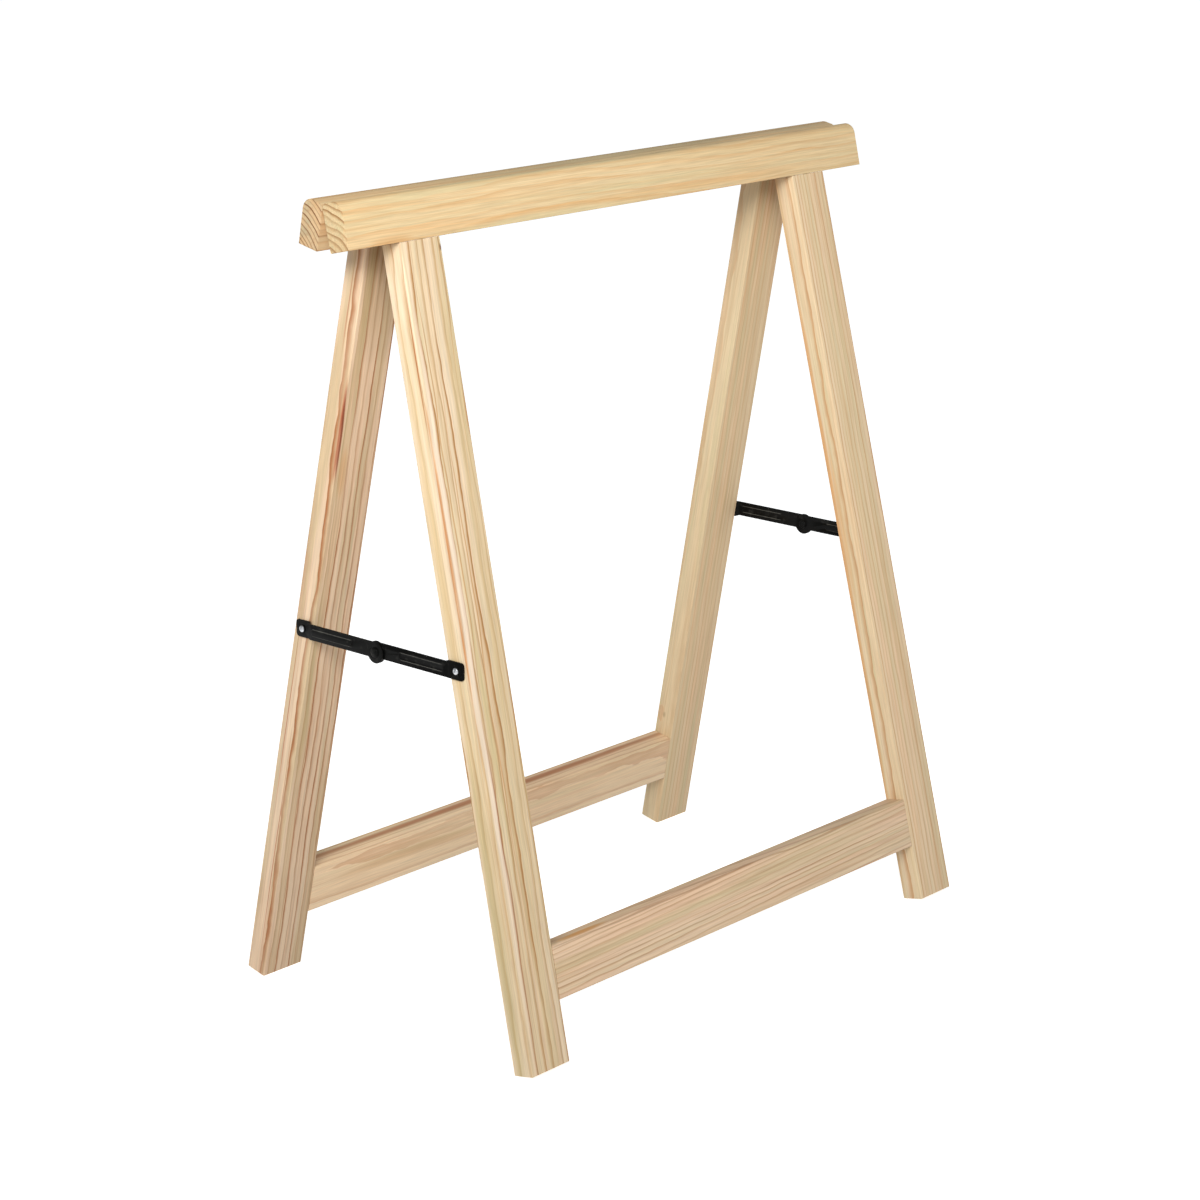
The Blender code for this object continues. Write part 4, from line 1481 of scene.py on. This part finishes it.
# ------------------------------------------------------------------------------------ hinges
@dataclass(frozen=True)
class ButtHinge:
    """Butt hinge let into the rails: a rolled leaf on each rail, a pin and six countersunk screws."""

    end: End
    plate: bpy.types.Material
    length: float = 0.060
    leaf_depth: float = 0.022
    leaf_thickness: float = 0.0012
    leaf_out: float = 0.00025
    barrel_radius: float = 0.0026
    pin_radius: float = 0.00125
    knuckles: int = 5
    flats: int = 24
    screw_spacing: float = 0.020
    screw_down: float = 0.0128
    screw_head: float = 0.0030
    screw_shank: float = 0.0014
    screw_length: float = 0.015
    screw_point: float = 0.0002
    screw_turn: float = 17.0
    recess: tuple[float, float, float] = (0.0030, 0.0008, 0.0016)
    slot_width: float = 0.012
    over: float = 0.002

    def seat(self, side: Side) -> Matrix:
        """Place of the hinge, from upright space centred on it to the open sawhorse."""
        x = self.end.value * (LAYOUT.rail_length / 2 - LAYOUT.hinge_from_end)
        return LAYOUT.tilt(side) @ Matrix.Translation((x, 0, 0))

    def build(self) -> None:
        """Make both leaves, their screws and the pin."""
        word = f"{self.end.word}_hinge"
        for side in Side:
            name, body = f"{word}_{side.word}_leaf", f"{side.word}_frame"
            leaf = SHELF.copy(f"{side.word}_leaf", f"{name}_zinc", lambda: self.leaf_shape(side),
                              self.seat(side))
            hand_over(leaf, self.plate, body, name)
            for number, step in enumerate((-1, 0, 1), start=1):
                name = f"{word}_{side.word}_screw_{number}"
                turn = Matrix.Rotation(math.radians(self.screw_turn * number), 4, "Z")
                screw = SHELF.copy("hinge_screw", f"{name}_zinc", self.screw_shape,
                                   self.seat(side) @ self.screw_spot(side, step) @ turn)
                hand_over(screw, self.plate, body, name)
        pin = SHELF.copy("hinge_pin", f"{word}_pin_zinc", self.pin_shape,
                         self.seat(Side.BACK) @ standing_on((1, 0, 0), (0, 0, 0)))
        hand_over(pin, self.plate, "back_frame", f"{word}_pin")

    def spans(self, side: Side) -> list[tuple[float, float]]:
        """Start and end, along the pin, of the knuckles that belong to one leaf.

        Args:
            side: The frame that the leaf is on.

        Returns:
            A pair for each knuckle.
        """
        pitch = (self.length + LAYOUT.gap) / self.knuckles
        first = 0 if side is Side.BACK else 1
        return [(i * pitch - self.length / 2, (i + 1) * pitch - LAYOUT.gap - self.length / 2)
                for i in range(first, self.knuckles, 2)]

    def leaf_shape(self, side: Side) -> bpy.types.Object:
        """Shape a flat leaf with its rolled knuckles, the pin's bore and three countersunk holes.

        Args:
            side: The frame that the leaf is on.

        Returns:
            The leaf, in upright space.
        """
        other = Side.FRONT if side is Side.BACK else Side.BACK
        along = standing_on((1, 0, 0), (0, 0, 0))
        middle = LAYOUT.place(side, 0, self.leaf_out + self.leaf_thickness / 2, self.leaf_depth / 2)
        made = Bench.block("leaf", (self.length, self.leaf_thickness, self.leaf_depth), middle)
        clear = self.barrel_radius + 2 * LAYOUT.gap
        for low, high in self.spans(other):
            slot = Bench.block("slot", (high - low + 2 * LAYOUT.gap, self.slot_width, 2 * clear),
                               ((low + high) / 2, 0, 0))
            Bench.work(made, slot, Cut.REMOVE)
        for low, high in self.spans(side):
            barrel = rod("barrel", self.barrel_radius, high - low - LAYOUT.gap / 2,
                         Matrix.Translation(((low + high) / 2, 0, 0)) @ along)
            Bench.work(made, barrel, Cut.JOIN)
        bore = rod("pin_bore", self.pin_radius + LAYOUT.gap, self.length + self.over, along)
        Bench.work(made, bore, Cut.REMOVE)
        for step in (-1, 0, 1):
            sink = SHELF.copy("countersink", "countersink", self.countersink_shape,
                              self.screw_spot(side, step))
            Bench.work(made, sink, Cut.REMOVE)
        Bench.smooth(made)
        return made

    def countersink_shape(self) -> bpy.types.Object:
        """Shape the cutter of a screw's hole, with room round the screw.

        Returns:
            The cutter.
        """
        head, shank = self.screw_head + LAYOUT.gap, self.screw_shank + LAYOUT.gap
        profile = [(shank, -3 * self.over), (shank, shank - head), (head, 0), (head, self.over)]
        return Bench.turn("countersink", profile, self.flats)

    def screw_spot(self, side: Side, step: int) -> Matrix:
        """Place of a screw in upright space, its head facing the fold."""
        spot = LAYOUT.place(side, step * self.screw_spacing, self.leaf_out, self.screw_down)
        return standing_on((0, -side.value, 0), spot)

    def screw_shape(self) -> bpy.types.Object:
        """Shape a countersunk screw with a cross recess.

        Returns:
            The screw, its head up.
        """
        head, shank, soft = self.screw_head, self.screw_shank, 0.0001
        profile = [(self.screw_point, -self.screw_length), (shank, 2 * shank - self.screw_length),
                   (shank, shank - head), (head, -soft), (head - soft, 0)]
        made = Bench.turn("screw", profile, self.flats)
        cross_recess(made, self.recess, height=0, turn=0)
        Bench.smooth(made, angle=28)
        return made

    def pin_shape(self) -> bpy.types.Object:
        """Shape a hinge pin with softened ends.

        Returns:
            The pin, along Z.
        """
        soft, radius, half = 0.0003, self.pin_radius, self.length / 2
        made = Bench.turn("pin", [(radius - soft, -half), (radius, soft - half), (radius, half - soft),
                                  (radius - soft, half)], self.flats)
        Bench.smooth(made, angle=50)
        return made


# ------------------------------------------------------------------------------------ dowels
@dataclass(frozen=True)
class Dowels:
    """The beech dowels, kept as they are and given their wood."""

    finish: Beech = Beech()

    def build(self) -> None:
        """Dress every dowel node along its own direction."""
        for side in Side:
            across = self.finish.make(Vector((1, 0, 0)))
            upright = self.finish.make(LAYOUT.tilt(side).to_3x3() @ Vector((0, 0, 1)))
            for name, node in frame["nodes"].items():
                if name.startswith(side.word) and "_dowel_" in name:
                    node.data.materials.clear()
                    node.data.materials.append(across if "stretcher" in name else upright)
                    LOG.info("%s: dressed in beech", name)


# ------------------------------------------------------------------------------------ studio
@dataclass(frozen=True)
class SoftBox:
    """A soft box: a rectangular light behind a grid."""

    name: str
    place: tuple[float, float, float]
    target: tuple[float, float, float]
    size: tuple[float, float]
    power: float
    spread: float

    def build(self) -> None:
        """Hang the light and point it at its target."""
        lamp = bpy.data.lights.new(self.name, "AREA")
        lamp.shape = "RECTANGLE"
        lamp.size, lamp.size_y = self.size
        lamp.energy = self.power
        lamp.spread = math.radians(self.spread)
        made = bpy.data.objects.new(self.name, lamp)
        bpy.context.scene.collection.objects.link(made)
        made.location = self.place
        made.rotation_euler = (Vector(self.target) - Vector(self.place)).to_track_quat("-Z", "Y").to_euler()


@dataclass(frozen=True)
class Studio:
    """Pale floor, soft light and the camera."""

    floor_size: float = 60.0
    floor_colour: Colour = (0.90, 0.90, 0.90)
    floor_glow: float = 0.72
    sky: tuple[tuple[float, Colour], ...] = (
        (0.0, (0.62, 0.61, 0.60)), (0.5, (0.56, 0.55, 0.54)), (0.62, (0.38, 0.39, 0.39)),
        (1.0, (0.27, 0.29, 0.30)))
    boxes: tuple[SoftBox, ...] = (
        SoftBox("key_box", (-2.38, -1.50, 2.00), (0, 0, 0.86), (3.0, 0.8), 21, 66),
        SoftBox("fill_box", (1.2, -2.2, 1.0), (0, 0, 0.4), (1.6, 1.6), 5, 180))
    lens: float = 89.4
    film_width: float = 36.0
    azimuth: float = -46.9
    elevation: float = 15.9
    distance: float = 2.8128
    roll: float = -0.65
    target: tuple[float, float, float] = (-0.0038, 0.0042, 0.3336)

    def build(self) -> None:
        """Set the floor, the light, the camera and plain colours."""
        bpy.context.scene.view_settings.view_transform = "Standard"
        self.floor()
        self.surroundings()
        for box in self.boxes:
            box.build()
        self.camera()
        LOG.info("studio: floor, surroundings, %d soft boxes and the camera", len(self.boxes))

    def floor(self) -> None:
        """Seamless pale floor that throws no colour onto the wood."""
        bpy.ops.object.select_all(action="DESELECT")
        bpy.ops.mesh.primitive_plane_add(size=self.floor_size)
        floor = bpy.context.active_object
        floor.name = "studio_floor"
        floor.visible_diffuse = False
        graph = Graph.named("pale_floor")
        settings = {"Roughness": 0.9, "Specular IOR Level": 0.1, "Emission Color": (1, 1, 1, 1),
                    "Emission Strength": self.floor_glow}
        for key, value in settings.items():
            graph.shader.inputs[key].default_value = value
        floor.data.materials.append(graph.finish({"Base Color": self.floor_colour}))

    def surroundings(self) -> None:
        """Soft surroundings, brightest below the rails and darker overhead."""
        scene = bpy.context.scene
        scene.world = bpy.data.worlds.new("pale_studio")
        graph = Graph(scene.world)
        _, _, height = graph.parts(Signal(graph, graph.add("ShaderNodeTexCoord").outputs["Generated"]))
        sky = graph.add("ShaderNodeValToRGB", {"stops": self.sky}, {"Fac": (height + 1) * 0.5})
        graph.finish({"Color": Signal(graph, sky.outputs["Color"])})

    def camera(self) -> None:
        """Long lens, a little above the rails, looking at the left front corner."""
        turn, rise = math.radians(self.azimuth), math.radians(self.elevation)
        back = Vector((math.sin(turn) * math.cos(rise), -math.cos(turn) * math.cos(rise), math.sin(rise)))
        lens = bpy.data.cameras.new("camera")
        lens.lens = self.lens
        lens.sensor_width = self.film_width
        made = bpy.data.objects.new("camera", lens)
        bpy.context.scene.collection.objects.link(made)
        aim = (-back).to_track_quat("-Z", "Y").to_matrix().to_4x4()
        place = Matrix.Translation(Vector(self.target) + back * self.distance)
        made.matrix_world = place @ aim @ Matrix.Rotation(math.radians(self.roll), 4, "Z")
        bpy.context.scene.camera = made


# ------------------------------------------------------------------------------------ the eight boards
# Colours that knots and resin stains share.
AMBER = paint(206, 148, 84)
RUST = paint(172, 88, 54)
UMBER = paint(120, 82, 48)


def rail_stock() -> dict[str, Pine]:
    """Pine of the rails, cut nearer the heart of the tree than the legs.

    Returns:
        The pine by the name of the board's node.
    """
    half_length = LAYOUT.rail_length / 2
    return {
        "front_rail": Pine(
            "front_rail_pine", early=paint(226, 201, 156), late=paint(212, 159, 99),
            blush=paint(222, 186, 136), pith=(-0.055, -0.034), ring=0.0054, seed=11.0, wander=0.0085,
            wander_rate=2.6, ripple=0.0012, line=0.46, late_share=0.65, end_tone=0.13, end_line=1.2,
            half_length=half_length, olive=paint(216, 197, 151), olive_share=0.5, fibre=0.6,
            knots=(
                Knot((0.0, -0.014, 0.012), (0.36, 0.0040, 0.006), paint(220, 166, 100), 0.30),
                Knot((-0.29, -0.017, 0.012), (0.030, 0.004, 0.004), AMBER, 0.4),
                # Painted shade: a darker olive-grey band along the top of the rail, where less light falls.
                Knot((0.0, 0.0215, 0.0), (0.50, 0.0065, 0.012), paint(158, 144, 106), 0.42),
            )),
        "back_rail": Pine(
            "back_rail_pine", early=paint(224, 192, 148), late=paint(166, 108, 58),
            blush=paint(218, 178, 128), pith=(-0.055, -0.034), ring=0.0041, seed=23.0, wander=0.005,
            ripple=0.0006, line=0.45, end_tone=0.13, end_line=1.4, half_length=half_length,
            olive=paint(190, 178, 142), olive_share=0.5,
            knots=(
                # Painted shade: a darker olive-grey band along the top of the rail, where less light falls.
                Knot((0.0, 0.0215, 0.0), (0.50, 0.0065, 0.014), paint(150, 138, 104), 0.42),
            )),
    }


def leg_stock() -> dict[str, Pine]:
    """Pine of the legs, each from another part of the tree.

    Returns:
        The pine by the name of the board's node.
    """
    return {
        "front_left_leg": Pine(
            "front_left_leg_pine", early=paint(240, 219, 188), late=paint(182, 132, 76),
            blush=paint(236, 206, 168), pith=(-0.100, 0.050), ring=0.0076, seed=36.0, wander=0.005,
            wander_rate=3.4, weave=0.0040, ripple=0.0014, line=0.95, late_share=0.45, olive_share=0.5,
            olive=paint(212, 190, 140), fibre=0.6,
            knots=(
                Knot((0.0, -0.0185, -0.0115), (0.42, 0.0040, 0.003), paint(248, 228, 206), 0.65),
                Knot((0.05, 0.0150, -0.0115), (0.42, 0.0090, 0.003), paint(218, 190, 138), 0.55),
                Knot((0.215, 0.0225, -0.010), (0.030, 0.0030, 0.004), paint(190, 128, 68), 0.7, 2.0),
                Knot((0.260, -0.0230, -0.0085), (0.09, 0.0030, 0.0014), paint(178, 112, 56), 0.9),
                Knot((0.080, -0.0228, -0.0108), (0.20, 0.0022, 0.0014), paint(190, 126, 70), 0.9),
                Knot((0.100, -0.0234, 0.003), (0.30, 0.0030, 0.0070), paint(228, 200, 152), 0.75),
                Knot((0.150, -0.0120, -0.0117), (0.30, 0.0010, 0.0012), paint(200, 146, 92), 0.8),
                Knot((0.020, -0.0030, -0.0117), (0.30, 0.0011, 0.0012), paint(204, 152, 98), 0.8),
                # Darker olive towards the foot of the left end face: partly the wood's own colour, partly
                # painted shade.
                Knot((-0.250, -0.0234, 0.002), (0.22, 0.0040, 0.0095), paint(196, 176, 122), 0.60),
                Knot((-0.210, -0.0155, -0.0117), (0.26, 0.0012, 0.0012), paint(168, 108, 70), 0.75),
                Knot((0.353, 0.0225, -0.0115), (0.004, 0.0016, 0.002), UMBER, 0.9),
            )),
        "back_left_leg": Pine(
            "back_left_leg_pine", early=paint(230, 205, 174), late=paint(168, 110, 66),
            blush=paint(226, 188, 152), pith=(0.115, -0.040), ring=0.0072, seed=47.0, wander=0.0045,
            wander_rate=3.0, weave=0.0034, ripple=0.0014, line=0.95, late_share=0.45, fibre=0.6,
            olive=paint(196, 174, 130), olive_share=0.55,
            knots=(
                Knot((0.180, -0.0225, -0.0100), (0.070, 0.0022, 0.0026), RUST, 1.0),
                Knot((0.185, -0.0225, -0.0108), (0.055, 0.0014, 0.0016), paint(128, 62, 34), 1.0),
                Knot((0.150, -0.0150, -0.0118), (0.030, 0.0060, 0.0020), AMBER, 0.40),
                Knot((0.300, -0.0234, 0.001), (0.060, 0.0020, 0.0012), RUST, 0.6),
                Knot((-0.100, -0.0234, 0.005), (0.140, 0.0030, 0.0009), RUST, 0.7),
                Knot((-0.230, -0.0234, -0.003), (0.150, 0.0030, 0.0009), RUST, 0.7),
                Knot((-0.200, -0.0110, -0.0117), (0.200, 0.0010, 0.0012), paint(176, 112, 70), 0.6),
                # Painted shade: darker olive at the top of the inner face, under the rails and close behind
                # the front leg.
                Knot((0.340, 0.0040, -0.0117), (0.100, 0.0320, 0.0040), paint(172, 148, 110), 0.5),
            )),
        "front_right_leg": Pine(
            "front_right_leg_pine", early=paint(222, 200, 166), late=paint(188, 140, 92),
            blush=paint(224, 188, 150), pith=(0.090, 0.036), ring=0.0046, seed=53.0, wander=0.005,
            line=0.75, olive_share=0.45, fibre=0.5,
            knots=(
                Knot((0.000, -0.0230, 0.0095), (0.46, 0.0050, 0.0040), paint(206, 148, 86), 0.75),
                Knot((0.020, -0.0230, 0.0040), (0.10, 0.0040, 0.0050), AMBER, 0.4),
            )),
        "back_right_leg": Pine(
            "back_right_leg_pine", early=paint(222, 199, 162), late=paint(186, 142, 96),
            blush=paint(222, 184, 142), pith=(0.120, 0.030), ring=0.0052, seed=61.0, wander=0.004, line=0.6,
            olive=paint(206, 188, 148), olive_share=0.5, fibre=0.5,
            knots=(
                Knot((-0.235, -0.0230, 0.002), (0.0065, 0.0020, 0.0034), UMBER, 0.8, 1.0),
            )),
    }


def stretcher_stock() -> dict[str, Pine]:
    """Pine of the stretchers, with the rings at other angles.

    Returns:
        The pine by the name of the board's node.
    """
    return {
        "front_stretcher": Pine(
            "front_stretcher_pine", early=paint(228, 202, 170), late=paint(176, 128, 88),
            blush=paint(228, 188, 154), pith=(-0.150, -0.050), ring=0.0042, seed=71.0, wander=0.003,
            weave=0.0012, ripple=0.0008, slant=0.03, line=0.78, fibre=0.5,
            knots=(
                Knot((-0.205, 0.0240, 0.005), (0.040, 0.0022, 0.007), AMBER, 0.9),
                Knot((0.0, 0.0228, 0.0115), (0.40, 0.0012, 0.0020), paint(150, 106, 70), 0.55),
            )),
        "back_stretcher": Pine(
            "back_stretcher_pine", early=paint(242, 218, 182), late=paint(194, 142, 98),
            blush=paint(236, 198, 160), pith=(0.012, -0.055), ring=0.0062, seed=86.0, wander=0.007,
            wander_rate=2.6, ripple=0.0012, line=0.5, late_share=0.6, fibre=0.5, olive=paint(224, 202, 160),
            knots=(
                Knot((0.0, 0.0240, -0.0030), (0.45, 0.0040, 0.0052), paint(176, 112, 74), 0.85),
                Knot((-0.120, 0.0020, 0.0115), (0.13, 0.0070, 0.0030), paint(202, 160, 112), 0.55),
            )),
    }


def main() -> None:
    """Build every part of the sawhorse around its frame, and the studio."""
    logging.basicConfig(level=logging.INFO, format="%(name)s: %(message)s", stream=sys.stdout)
    stock = {**rail_stock(), **leg_stock(), **stretcher_stock()}
    coat, plate = BlackCoat(), ZincPlate().make()
    for side in Side:
        TrestleFrame(side, stock).build()
    for end in End:
        StayHardware(end, coat, plate).build()
        ButtHinge(end, plate).build()
    SHELF.clear()
    Dowels().build()
    Studio().build()


if __name__ == "__main__":
    main()
